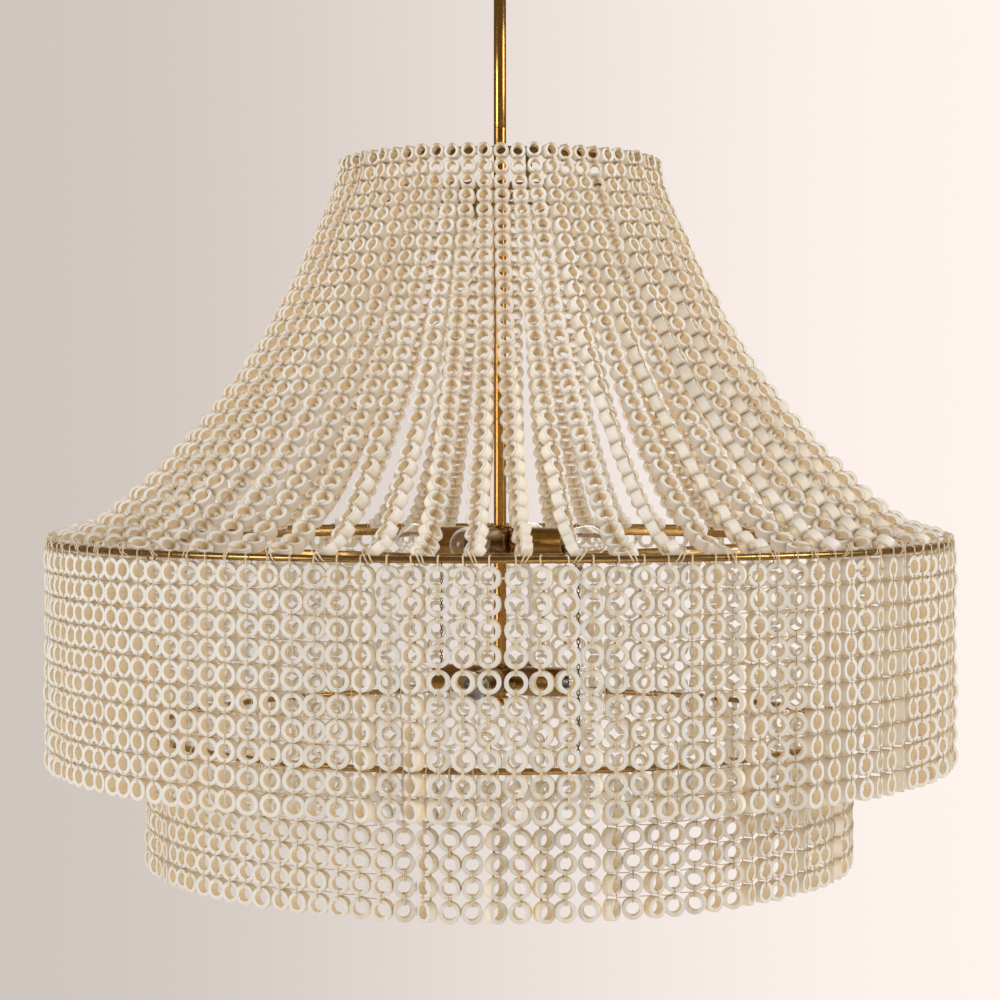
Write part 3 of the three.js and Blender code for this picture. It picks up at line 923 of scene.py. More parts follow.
def straight_thread(length: float, wire: float) -> Stamp:
    """Returns a short straight thread along Z."""
    ends = [Vector((0, 0, -length / 2)), Vector((0, 0, length / 2))]
    return Stamp.of(wire_along(ends, wire, 4, closed=False))


def set_along(centre: Vector, along: Vector, axis: Vector, width: float = 1.0) -> Matrix:
    """Returns the place of a stamp whose Z follows a string and whose X is the hole's axis.

    Args:
        centre: The stamp's middle.
        along: The way that the string runs.
        axis: The way that the hole looks.
        width: How much larger the stamp gets across its hole.

    Returns:
        The matrix.
    """
    z = along.normalized()
    y = z.cross(axis).normalized()
    turn = Matrix((y.cross(z), y, z)).transposed().to_4x4()
    return Matrix.Translation(centre) @ turn @ Matrix.Diagonal((1, width, width, 1))


def swung(radius: float, height: float, angle: float, sideways: float = 0.0) -> Vector:
    """Returns a point at a radius and height, at an angle about the stem."""
    return Matrix.Rotation(angle, 3, "Z") @ Vector((radius, sideways, height))


def degrees_seen(angle: float) -> float:
    """Returns how many degrees to the right of the camera's own bearing a string lies."""
    return math.degrees(math.remainder(angle - CAMERA_BEARING, FULL_TURN))


def aged_tone(age: float, dice: random.Random) -> float:
    """Returns one bead's tone: partly its string's age and partly its own."""
    return 0.6 * age + 0.4 * dice.random()


@dataclass(frozen=True)
class Twist:
    """How the beads of one string turn about the string on their way down."""

    start: float
    end: float
    wobble: float
    onset: float = 0.0

    def at(self, share: float, dice: random.Random) -> float:
        """Returns one bead's turn, with a little of its own.

        Args:
            share: How far down the string the bead is, from 0 to 1.
            dice: Gives the small irregularities.
        """
        late = max(0.0, share - self.onset) / (1 - self.onset)
        eased = late * late * (3 - 2 * late)
        return self.start + (self.end - self.start) * eased + dice.gauss(0, self.wobble)


@dataclass
class Curtain:
    """A tier of straight bead strings, hung from a rod ring in panels.

    Its parts are told by degrees to the right of the camera's bearing: the front lies within
    "front" either way, the sides reach to "side", and "turned" gives a range and its beads' turn.
    """

    tier: str
    panels: int
    radius: float
    ring_height: float
    first_row: float
    pitch: float
    rows: int
    bead: BeadShape
    seed: int
    rod: float = 0.003
    strings_per_panel: int = 12
    slack: float = 0.0011
    seat: float = 0.0006
    thread: float = 0.0007
    thin_thread: float = 0.00045
    cross_thread: float = 0.0004
    cross_share: float = 0.6
    lean_spread: float = 0.0009
    sway_spread: float = 0.0004
    bead_spread: float = 0.00025
    depth_spread: float = 0.0003
    front: float = 16
    side: float = 95
    left_part: tuple[float, float] = (-90, -15)
    right_end: float = 90
    turned_share: float = 0.05
    turned: tuple[tuple[float, float, float], ...] = ((-10.7, -8.0, -34), (9.7, 12.4, -35))
    joint: Stamp = field(init=False)
    thin_joint: Stamp = field(init=False)

    def __post_init__(self) -> None:
        """Makes the threads that tie one bead to the next."""
        bead = self.bead
        length = 2 * bead.wall + self.pitch - 2 * bead.outer + self.slack
        depth = 2 * bead.half_length + self.slack
        self.joint = thread_loop(length, depth, self.thread, turns=2)
        self.thin_joint = thread_loop(length, depth, self.thin_thread)

    def twist_of(self, angle: float, dice: random.Random) -> Twist:
        """Returns one string's twist: mostly slight, and strong in a few.

        Args:
            angle: The string's place about the stem.
            dice: Gives the small irregularities.

        Returns:
            The twist.
        """
        seen = degrees_seen(angle)
        for low, high, turn in self.turned:
            if low < seen < high:
                return Twist(math.radians(turn * 0.3), math.radians(turn), 0.05)
        if self.left_part[0] < seen < self.left_part[1]:
            slight = math.radians(dice.gauss(10, 5))
            return Twist(slight, slight + math.radians(dice.gauss(0, 4)), 0.04)
        if dice.random() < self.turned_share:
            strong = math.radians(dice.uniform(18, 50)) * dice.choice((-1, 1))
            if self.front < seen < self.right_end:
                strong = -abs(strong)
            return Twist(strong * dice.uniform(0.2, 1.0), strong, 0.05)
        slight = math.radians(dice.gauss(0, 14))
        return Twist(slight, slight + math.radians(dice.gauss(0, 6)), 0.04)

    def build(self) -> None:
        """Builds each panel's beads and threads and hangs them on its body."""
        dice = random.Random(self.seed)
        pitch = FULL_TURN / (self.panels * self.strings_per_panel)
        for number, middle in enumerate(around(self.panels), start=1):
            beads, threads, crossing = Batch(), Batch(), Batch()
            for string in range(self.strings_per_panel):
                angle = middle + (string + 0.5 - self.strings_per_panel / 2) * pitch
                self.hang_string(angle, beads, threads, crossing, dice)
                if string + 1 < self.strings_per_panel:
                    self.tie_across(angle + pitch / 2, pitch, threads, crossing, dice)
            node = f"{self.tier}_curtain_{number}"
            finished(f"{self.tier}_beads_{number}", beads.mesh(node), SHADED_CURTAIN_WOOD, node,
                     [node])
            finished(f"{self.tier}_threads_{number}", threads.mesh(node), COTTON, node)
            if crossing.copies:
                finished(f"{self.tier}_cross_threads_{number}", crossing.mesh(node),
                         SHADED_COTTON, node)

    def hang_string(self, angle: float, beads: Batch, threads: Batch, crossing: Batch,
                    dice: random.Random) -> None:
        """Places one string.

        Args:
            angle: Its place about the stem.
            beads: Takes the beads.
            threads: Takes the pale threads.
            crossing: Takes the thin threads drawn darker as painted shade.
            dice: Gives the small irregularities.
        """
        twist = self.twist_of(angle, dice)
        seen = degrees_seen(angle)
        joint = self.joint if abs(seen) < self.front else self.thin_joint
        # Joints seen side-on take the darker thread, as painted shade.
        taker = crossing if self.front < seen < self.side else threads
        stamp = self.bead.stamp()
        lean = dice.gauss(0, self.lean_spread)
        sway = dice.gauss(0, self.sway_spread)
        age = dice.random()
        previous = None
        for row in range(self.rows):
            share = row / (self.rows - 1)
            height = self.first_row - row * self.pitch + dice.gauss(0, self.bead_spread)
            side = lean * share + sway + dice.gauss(0, self.bead_spread)
            centre = swung(self.radius + dice.gauss(0, self.depth_spread), height, angle, side)
            turn = twist.at(share, dice)
            axis = Matrix.Rotation(angle + turn, 3, "Z") @ Vector((1, 0, 0))
            tilt = Vector((dice.gauss(0, 0.02), dice.gauss(0, 0.02), 1))
            beads.add(stamp, set_along(centre, tilt, axis), aged_tone(age, dice))
            if previous:
                middle = (centre + previous[0]) / 2
                along = previous[0] - centre
                taker.add(joint, set_along(middle, along, axis + previous[1]), dice.random())
            else:
                self.tie_to_ring(angle, centre, axis, threads, dice)
            previous = (centre, axis)

    def tie_across(self, angle: float, pitch: float, threads: Batch, crossing: Batch,
                   dice: random.Random) -> None:
        """Ties two neighbouring strings: a loop in the first row, thin threads at the sides.

        Args:
            angle: The place between the two strings.
            pitch: The angle from one to the other.
            threads: Takes the loop.
            crossing: Takes the thin threads.
            dice: Gives the small irregularities.
        """
        out = swung(1, 0, angle)
        sideways = UP.cross(out)
        middle = swung(self.radius, self.first_row, angle)
        threads.add(self.joint, set_along(middle, sideways, out, 0.6), dice.random())
        if not self.front < abs(degrees_seen(angle)) < self.side:
            return
        strand = straight_thread(self.radius * pitch * self.cross_share, self.cross_thread)
        for row in range(self.rows - 1):
            height = self.first_row - (row + 0.5) * self.pitch + dice.gauss(0, 0.0006)
            middle = swung(self.radius + self.bead.half_length * 0.3, height, angle)
            along = Matrix.Rotation(dice.gauss(0, 0.05), 3, out) @ sideways
            crossing.add(strand, set_along(middle, along, out), dice.random())

    def tie_to_ring(self, angle: float, first: Vector, axis: Vector, threads: Batch,
                    dice: random.Random) -> None:
        """Ties the first bead over the rod with one loop of thread.

        Args:
            angle: The string's place about the stem.
            first: The first bead's middle.
            axis: The way that its hole looks.
            threads: Takes the loop.
            dice: Gives the small irregularities.
        """
        top = self.ring_height + self.rod + self.seat
        bottom = first.z + self.bead.hole - self.seat
        depth = 2 * self.bead.half_length + 2 * self.seat
        loop = thread_loop(top - bottom, depth, self.thread)
        slant = dice.gauss(0, 0.07)
        middle = swung(self.radius, (top + bottom) / 2, angle)
        along = Matrix.Rotation(slant, 3, axis) @ UP
        radial = swung(1, 0, angle)
        threads.add(loop, set_along(middle, along, axis + radial), dice.random())


@dataclass
class Swags:
    """One layer of bead strings that sweep from the top ring out to the main ring."""

    groups: int = 4
    strings_per_group: int = 16
    beads_per_string: int = 27
    start: tuple[float, float] = (0.15675, -0.2465)
    end: tuple[float, float] = (0.446, -0.6275)
    small: float = 0.0146
    large: float = 0.0204
    band_top: float = -0.2485
    band_radius: float = 0.15
    top_turn: float = math.radians(-2.3)
    shares: Sequence[tuple[float, float]] = (
        (0, 0), (0.025, 0.09), (0.085, 0.19), (0.165, 0.325), (0.275, 0.48),
        (0.4, 0.62), (0.55, 0.755), (0.71, 0.877), (0.86, 0.965), (1, 1),
    )
    middle_part: tuple[float, float] = (-22, 12)
    middle_turns: tuple[float, ...] = (-80, -64, -38, 42, 74)
    middle_onset: float = 0.4
    tie_rim: float = 0.4544
    tie_depth: float = 0.0122
    ring_height: float = -0.629
    wrap_inside: float = 0.0022
    wrap_outside: float = 0.0004
    wrap_below: float = 0.0006
    wrap_above: float = 0.0003
    end_seat: float = 0.0008
    slack: tuple[float, float] = (0.0012, 0.0011)
    joint_thread: float = 0.0005
    top_thread: float = 0.00045
    end_thread: float = 0.00065
    darker_near_top: float = 0.3
    drift_spread: float = 0.0024
    slip_spread: float = 0.0008
    bead_spread: float = 0.0004
    seed: int = 41

    def middle_line(self) -> list[Vector]:
        """Returns close points along the sweep of a string, as (radius, 0, height)."""
        run = self.end[0] - self.start[0]
        fall = self.end[1] - self.start[1]
        knots = [Vector((self.start[0] + run * out, 0, self.start[1] + fall * down))
                 for out, down in self.shares]
        knots = [2 * knots[0] - knots[1], *knots, 2 * knots[-1] - knots[-2]]
        line: list[Vector] = []
        for before, first, second, after in zip(knots, knots[1:], knots[2:], knots[3:]):
            handles = first + (second - before) / 6, second - (after - first) / 6
            line += interpolate_bezier(first, *handles, second, 24)[:-1]
        return [*line, knots[-2]]

    def stations(self) -> list[Station]:
        """Returns each bead's place, the way the string runs there, and the bead's size."""
        line = self.middle_line()
        reach = np.cumsum([0.0] + [(b - a).length for a, b in zip(line, line[1:])])
        sizes = np.linspace(self.small, self.large, self.beads_per_string)
        steps = sizes / sizes.sum() * reach[-1]
        places = np.cumsum(steps) - steps / 2
        radii = [point.x for point in line]
        heights = [point.z for point in line]

        def at(distance: float) -> Vector:
            """Returns the point at a distance along the line."""
            return Vector((np.interp(distance, reach, radii), 0,
                           np.interp(distance, reach, heights)))

        return [(at(place), (at(place + 0.002) - at(place - 0.002)).normalized(), float(size))
                for place, size in zip(places, sizes)]

    def twist_of(self, angle: float, string: int, dice: random.Random) -> Twist:
        """Returns one string's twist: strong in the middle and in every other one on the right.

        Args:
            angle: The string's place about the stem.
            string: Its number in the group.
            dice: Gives the small irregularities.

        Returns:
            The twist.
        """
        seen = degrees_seen(angle)
        first, end, onset = dice.gauss(0, 9), dice.gauss(0, 9), 0.0
        if self.middle_part[0] < seen < self.middle_part[1]:
            end += dice.choice(self.middle_turns)
            onset = self.middle_onset
        elif seen > 0 and string % 2:
            end += 92 - 0.9 * min(seen, 90)
        elif abs(seen) < 130:
            first -= 0.35 * seen
            end -= 0.72 * seen
        else:
            end *= 3
        return Twist(math.radians(first), math.radians(end), 0.08, onset)

    def build(self) -> None:
        """Builds the four groups of strings with their threads."""
        dice = random.Random(self.seed)
        stations = self.stations()
        pitch = FULL_TURN / (self.groups * self.strings_per_group)
        for group in range(self.groups):
            beads, threads, ties = Batch(), Batch(), Batch()
            for string in range(self.strings_per_group):
                angle = (group * self.strings_per_group + string + 0.5) * pitch
                twist = self.twist_of(angle, string, dice)
                self.hang_string(angle, twist, stations, beads, threads, dice)
                self.tie_top(angle + self.top_turn, stations[0], threads, dice)
                self.tie_end(angle, stations[-1], ties, dice)
            node = f"swag_group_{group + 1}"
            finished(f"swag_beads_{group + 1}", beads.mesh(node), SWAG_WOOD, "fixture",
                     [node])
            # The joints take the darker thread as painted shade. The ties to the ring stay pale.
            finished(f"swag_threads_{group + 1}", threads.mesh(node), SHADED_COTTON, "fixture")
            finished(f"swag_ties_{group + 1}", ties.mesh(node), COTTON, "fixture")

    def hang_string(self, angle: float, twist: Twist, stations: list[Station], beads: Batch,
                    threads: Batch, dice: random.Random) -> None:
        """Places one swag string.

        Args:
            angle: Its place about the stem.
            twist: How its beads turn on the way down.
            stations: Each bead's place, direction and size.
            beads: Takes the beads.
            threads: Takes the threads.
            dice: Gives the small irregularities.
        """
        bead = SWAG_BEAD
        stamp = bead.stamp()
        joint = thread_loop(2 * bead.wall + self.slack[0], 2 * bead.half_length + self.slack[1],
                            self.joint_thread)
        drift = dice.gauss(0, self.drift_spread)
        slip = dice.gauss(0, self.slip_spread)
        age = dice.random()
        previous = None
        for number, (place, along, size) in enumerate(stations):
            share = number / (len(stations) - 1)
            bulge = math.sin(math.pi * share)
            swing = Matrix.Rotation(angle + self.top_turn * (1 - share) ** 1.5, 3, "Z")
            across = swing @ Vector((0, 1, 0))
            place = swing @ (place + along * slip * (1 - share)
                             + Vector((dice.gauss(0, self.bead_spread), drift * bulge, 0)))
            along = swing @ along
            facing = across.cross(along) * -1
            turn = twist.at(share, dice)
            axis = facing * math.cos(turn) + across * math.sin(turn)
            scale = size / (2 * bead.outer)
            # The tone rises towards the top ring, so the upper beads of each string come out
            # darker.
            tone = min(1.0, aged_tone(age, dice) + self.darker_near_top * (1 - share) ** 2)
            beads.add(stamp, set_along(place, -along, axis, scale), tone)
            if previous:
                middle = (place + previous[0]) / 2
                threads.add(joint, set_along(middle, previous[0] - place, axis + previous[1],
                                             scale), dice.random())
            previous = (place, axis)

    def tie_top(self, angle: float, first: Station, threads: Batch, dice: random.Random
                ) -> None:
        """Ties the first bead's upper rim over the top ring's band, which it hides.

        Args:
            angle: The string's place about the stem.
            first: The first bead's place, direction and size.
            threads: Takes the loop.
            dice: Gives the small irregularities.
        """
        small = self.small / self.large
        rim = first[0].z + SWAG_BEAD.outer * small
        inner = self.band_radius - self.wrap_inside
        outer = first[0].x + SWAG_BEAD.half_length + self.wrap_outside
        low = first[0].z + SWAG_BEAD.hole * small - self.wrap_below
        top = max(rim, self.band_top) + self.wrap_above
        loop = thread_loop(top - low, outer - inner, self.top_thread)
        middle = swung((inner + outer) / 2, (top + low) / 2, angle)
        along = Matrix.Rotation(dice.gauss(0, 0.08), 3, middle) @ UP
        threads.add(loop, set_along(middle, along, swung(1, 0, angle)), dice.random())

    def tie_end(self, angle: float, last: Station, threads: Batch, dice: random.Random
                ) -> None:
        """Ties the last bead to the main ring with two threads that lean the same way.

        Args:
            angle: The string's place about the stem.
            last: The last bead's place, direction and size.
            threads: Takes the threads.
            dice: Gives the small irregularities.
        """
        rim = self.tie_rim
        inner = last[0].x + SWAG_BEAD.hole - self.end_seat
        loop = thread_loop(rim - inner, self.tie_depth, self.end_thread)
        height = (last[0].z + self.ring_height) / 2 + self.end_seat
        tilt = math.radians(dice.gauss(27, 6)) * dice.choice((-1, 1))
        out = swung(1, 0, angle)
        for side in (-1, 1):
            middle = swung((inner + rim) / 2, height, angle, side * dice.gauss(0.0019, 0.0003))
            up = Matrix.Rotation(tilt + dice.gauss(0, 0.09), 3, out) @ UP
            threads.add(loop, set_along(middle, out, up), dice.random())


SWAG_BEAD = BeadShape(half_length=0.0047)
OUTER_BEAD = BeadShape()
LOWER_BEAD = BeadShape(outer=0.0097, hole=0.0062, half_length=0.0044)


# The metal frame and the lamps


@dataclass
class CeilingFitting:
    """The canopy and its nut, and the swivel under it. The bracket stays as it is imported."""

    radius: float = 0.065
    depth: float = 0.032
    wall: float = 0.0013
    lip: float = 0.0022
    bore: float = 0.0053
    neck: float = 0.017
    nut_radius: float = 0.012
    nut_height: float = 0.006
    nut_edge: float = 0.0009
    knurls: int = 96
    knurl_depth: float = 0.0005
    collar_radius: float = 0.01
    cavity: float = 0.0074
    cavity_top: float = -0.0477
    collar_top: float = -0.0386
    collar_floor: float = -0.0525
    fork_top: float = -0.056
    fork_end: float = -0.068
    fork_gap: float = 0.007
    pin_height: float = -0.062
    pin_radius: float = 0.002
    head_share: float = 1.45
    head_height: float = 0.001
    head_dome: Profile = ((0.7, 0.0003), (1.0, 0.0009))
    gap: float = 0.0003

    def build(self) -> None:
        """Builds the canopy, its knurled nut, the forked collar and the pin."""
        finished("canopy_shell", self.canopy(), BRASS, "ceiling", ["canopy"])
        finished("knurled_ring_nut", self.nut(), BRASS, "ceiling", ["canopy_ring_nut"])
        finished("forked_collar", self.collar(), BRASS, "swivel", ["swivel_collar"])
        finished("swivel_rivet", self.rivet(), DARK_BRASS, "swivel", ["swivel_pin"])

    def canopy(self) -> bmesh.types.BMesh:
        """Returns the shallow dome with a flat lip and a bored end."""
        outside = [(self.bore, -self.depth), (self.neck, -self.depth)]
        for step in range(1, 11):
            turn = QUARTER_TURN * step / 11
            outside.append((self.neck + (self.radius - self.neck) * math.sin(turn),
                            -self.depth * math.cos(turn)))
        outside += [(self.radius, -self.lip), (self.radius, 0.0)]
        inside = [(max(radius - self.wall, self.bore), height + self.wall)
                  for radius, height in outside[1:-2]]
        profile = [*outside, (self.radius - self.wall, 0.0), *reversed(inside),
                   (self.bore, self.wall - self.depth)]
        return softened(turned(profile, 96, closed=True), SOFT_EDGE)

    def nut(self) -> bmesh.types.BMesh:
        """Returns the ring nut with a knurled rim."""
        top = -self.depth - self.gap
        bottom = top - self.nut_height
        edge = self.nut_edge
        profile = [(self.bore, top), (self.nut_radius - edge, top), (self.nut_radius, top - edge),
                   (self.nut_radius, bottom + edge), (self.nut_radius - edge, bottom),
                   (self.bore, bottom)]
        bm = turned(profile, self.knurls, closed=True)
        rim = [vert for vert in bm.verts if vert.co.xy.length > self.nut_radius - edge / 2]
        for vert in rim:
            step = round(math.atan2(vert.co.y, vert.co.x) / FULL_TURN * self.knurls)
            if step % 2:
                vert.co.xy *= 1 - self.knurl_depth / self.nut_radius
        return bm

    def collar(self) -> bmesh.types.BMesh:
        """Returns the collar, bored for the nipple's head, with two cheeks below."""
        profile = [
            (0, self.fork_top), (self.collar_radius, self.fork_top),
            (self.collar_radius, self.collar_top), (self.bore, self.collar_top),
            (self.bore, self.cavity_top), (self.cavity, self.cavity_top),
            (self.cavity, self.collar_floor), (0, self.collar_floor),
        ]
        return gathered([softened(turned(profile, 64), SOFT_EDGE), self.cheek(-1),
                         self.cheek(1)])

    def cheek(self, side: int) -> bmesh.types.BMesh:
        """Makes one cheek of the fork: the part of a disc beyond the slot.

        Args:
            side: 1 or -1, for the cheek's side along X.

        Returns:
            The cheek.
        """
        bm = bmesh.new()
        bmesh.ops.create_circle(bm, cap_ends=True, segments=64, radius=self.collar_radius)
        limit = side * self.fork_gap / 2
        bmesh.ops.bisect_plane(bm, geom=bm.verts[:] + bm.edges[:] + bm.faces[:],
                               plane_co=(limit, 0, 0), plane_no=(-side, 0, 0), clear_outer=True)
        drawn_out(bm, (0, 0, self.fork_end - self.fork_top - self.gap))
        moved(bm, Matrix.Translation((0, 0, self.fork_top + self.gap)))
        return softened(closed_up(bm), 0.0005)

    def rivet(self) -> bmesh.types.BMesh:
        """Returns the pin with a domed head at each end."""
        half = self.collar_radius + self.head_height
        head = self.pin_radius * self.head_share
        dome = [(0, half), *[(head * share, half - drop) for share, drop in self.head_dome],
                (self.pin_radius, self.collar_radius)]
        profile = [(radius, -height) for radius, height in dome] + dome[::-1]
        return moved(turned(profile, 24), lying(0, self.pin_height))


@dataclass
class Stem:
    """The two lengths of tube, with the eye on top and the side screw under the seam."""

    radius: float = 0.00635
    wall: float = 0.002
    top: float = -0.074
    seam: float = -0.211
    end: float = -0.789
    gap: float = 0.0003
    eye_radius: float = 0.0052
    eye_thick: float = 0.0064
    eye_height: float = -0.062
    pin_hole: float = 0.0023
    eye_gap: float = 0.0005
    plug: float = 0.01
    tube_edge: float = 0.00035
    screw_height: float = -0.216
    screw_angle: float = math.radians(199)
    screw_hole: float = 0.0018
    sides: int = 48

    def build(self) -> None:
        """Builds both lengths of the stem."""
        finished("stem_top_length", self.upper(), BRASS, "fixture", ["upper_stem"])
        finished("stem_main_length", self.lower(), BRASS, "fixture", ["lower_stem"])

    def upper(self) -> bmesh.types.BMesh:
        """Returns the short tube with its closed top, its neck and its eye."""
        bore = self.radius - self.wall
        low = self.seam + self.gap / 2
        floor = self.top - self.plug
        tube = turned([(0, floor), (bore, floor), (bore, low),
                       (self.radius, low), (self.radius, self.top), (0, self.top)], self.sides)
        rise = self.eye_height - self.top - self.pin_hole - self.eye_gap
        neck = block(self.eye_thick, self.eye_radius * 1.8, rise, (0, 0, self.top + rise / 2),
                     SOFT_EDGE)
        half = self.eye_thick / 2
        eye = ring_bar(self.pin_hole, self.eye_radius, -half, half, 40)
        moved(softened(eye, SOFT_EDGE), lying(0, self.eye_height))
        return gathered([softened(tube, self.tube_edge), neck, eye])

    def lower(self) -> bmesh.types.BMesh:
        """Returns the long tube, with a round hole for the screw let into its side."""
        bore = self.radius - self.wall
        reach = self.screw_hole * 1.5
        heights = [self.seam - self.gap / 2, self.screw_height + reach, self.screw_height - reach,
                   self.end]
        profile = [(bore, heights[0]), *[(self.radius, height) for height in heights],
                   (bore, self.end)]
        bm = turned(profile, self.sides, closed=True)
        bmesh.ops.subdivide_edges(bm, edges=self.upright_edges(bm, heights[1], heights[2]),
                                  cuts=3, use_grid_fill=True)
        self.open_hole(bm)
        return softened(bm, 0.0003, 1)

    def upright_edges(self, bm: bmesh.types.BMesh, high: float, low: float
                      ) -> list[bmesh.types.BMEdge]:
        """Returns the outer wall's upright edges between two heights.

        Args:
            bm: The tube.
            high: The upper height.
            low: The lower height.

        Returns:
            The edges.
        """
        middle = (high + low) / 2
        return [edge for edge in bm.edges
                if abs((edge.verts[0].co.z + edge.verts[1].co.z) / 2 - middle) < 1e-5
                and abs(edge.verts[0].co.z - edge.verts[1].co.z) > 1e-4
                and edge.verts[0].co.xy.length > self.radius - 1e-4]

    def open_hole(self, bm: bmesh.types.BMesh) -> None:
        """Rounds the patch of faces at the screw and sinks it into the wall.

        Args:
            bm: The tube.
        """
        out = Vector((math.cos(self.screw_angle), math.sin(self.screw_angle), 0))
        centre = out * self.radius + UP * self.screw_height
        reach = self.screw_hole * 0.95
        patch = [face for face in bm.faces
                 if (face.calc_center_median() - centre).length < reach * 1.15
                 and face.calc_center_median().xy.length > self.radius - 4e-4]
        if not patch:
            return
        bmesh.ops.inset_region(bm, faces=patch, thickness=0.0001, use_even_offset=True)
        rim = {vert for face in patch for vert in face.verts}
        for vert in rim:
            away = vert.co - centre
            away -= out * away.dot(out)
            if away.length > reach * 0.55:
                vert.co += away.normalized() * (self.screw_hole - away.length)
        bmesh.ops.extrude_face_region(bm, geom=patch)
        bmesh.ops.translate(bm, vec=out * -self.wall * 0.8, verts=list(rim))


@dataclass
class TopRing:
    """The small dark band with its four bent straps and its hub."""

    radius: float = 0.15
    top: float = -0.2485
    height: float = 0.008
    thick: float = 0.0025
    strap_width: float = 0.006
    strap_thick: float = 0.003
    strap_inset: float = 0.007
    strap_height: float = -0.285
    hub_radius: float = 0.01
    hub_height: float = 0.012
    bore: float = 0.00665

    def build(self) -> None:
        """Builds the ring as one piece."""
        inner = self.radius - self.thick / 2
        outer = self.radius + self.thick / 2
        band = ring_bar(inner, outer, self.top - self.height, self.top, 120)
        parts = [softened(band, SOFT_EDGE)]
        parts += [moved(self.strap(inner), Matrix.Rotation(angle, 4, "Z"))
                  for angle in around(4)]
        hub_top = self.strap_height - self.strap_thick / 2 + self.hub_height / 2
        hub = ring_bar(self.bore, self.hub_radius, hub_top - self.hub_height, hub_top, 48)
        parts.append(softened(hub, HUB_EDGE))
        finished("top_ring_frame", gathered(parts), TOP_BRASS, "fixture", ["top_ring"])

    def strap(self, inner: float) -> bmesh.types.BMesh:
        """Makes one strap, bent twice, along X.

        Args:
            inner: The band's inner radius, where the strap starts.

        Returns:
            The strap.
        """
        out = inner - self.strap_inset + self.strap_thick / 2
        back = out - self.strap_thick
        arm = self.top - self.height / 4
        low = self.strap_height
        root = self.hub_radius - ROOT_DEPTH
        thick = self.strap_thick
        outline = [(inner + self.thick / 2, arm), (back, arm), (back, low),
                   (root, low), (root, low - thick), (out, low - thick), (out, arm - thick),
                   (inner + self.thick / 2, arm - thick)]
        return bar_from_outline(outline, self.strap_width, 0.0005)


def bar_from_outline(outline: Profile, width: float, soft: float) -> bmesh.types.BMesh:
    """Gives a flat outline a width about the XZ plane.

    Args:
        outline: The outline's points, in radius and height.
        width: The width across.
        soft: How far its edges are rounded.

    Returns:
        The bar.
    """
    bm = bmesh.new()
    bm.faces.new([bm.verts.new((radius, -width / 2, height)) for radius, height in outline])
    return softened(closed_up(drawn_out(bm, (0, width, 0))), soft)


@dataclass
class MainRing:
    """The large rod ring on four spokes from a hub under the upper lamp cluster."""

    radius: float = 0.45
    height: float = -0.629
    rod: float = 0.003
    spoke_width: float = 0.005
    spoke_height: float = 0.004
    hub_radius: float = 0.0088
    hub_height: float = 0.007
    hub_top: float = -0.64405
    bore: float = 0.00665

    def build(self) -> None:
        """Builds the ring, its spokes and its hub as one piece."""
        parts = [rod_ring(self.radius, self.rod, self.height, 180)]
        start = self.hub_top - self.hub_height / 2
        near, far = self.hub_radius - ROOT_DEPTH, self.radius - 0.0005
        half = self.spoke_height / 2
        rise = (self.height - start) / self.radius
        outline = [(near, start + rise * near - half), (far, start + rise * far - half),
                   (far, start + rise * far + half), (near, start + rise * near + half)]
        parts += [moved(bar_from_outline(outline, self.spoke_width, 0.0009),
                        Matrix.Rotation(angle, 4, "Z")) for angle in around(4)]
        low = self.hub_top - self.hub_height
        hub = ring_bar(self.bore, self.hub_radius, low, self.hub_top, 48)
        parts.append(softened(hub, HUB_EDGE))
        finished("main_ring_frame", gathered(parts), RING_BRASS, "fixture", ["main_ring"])


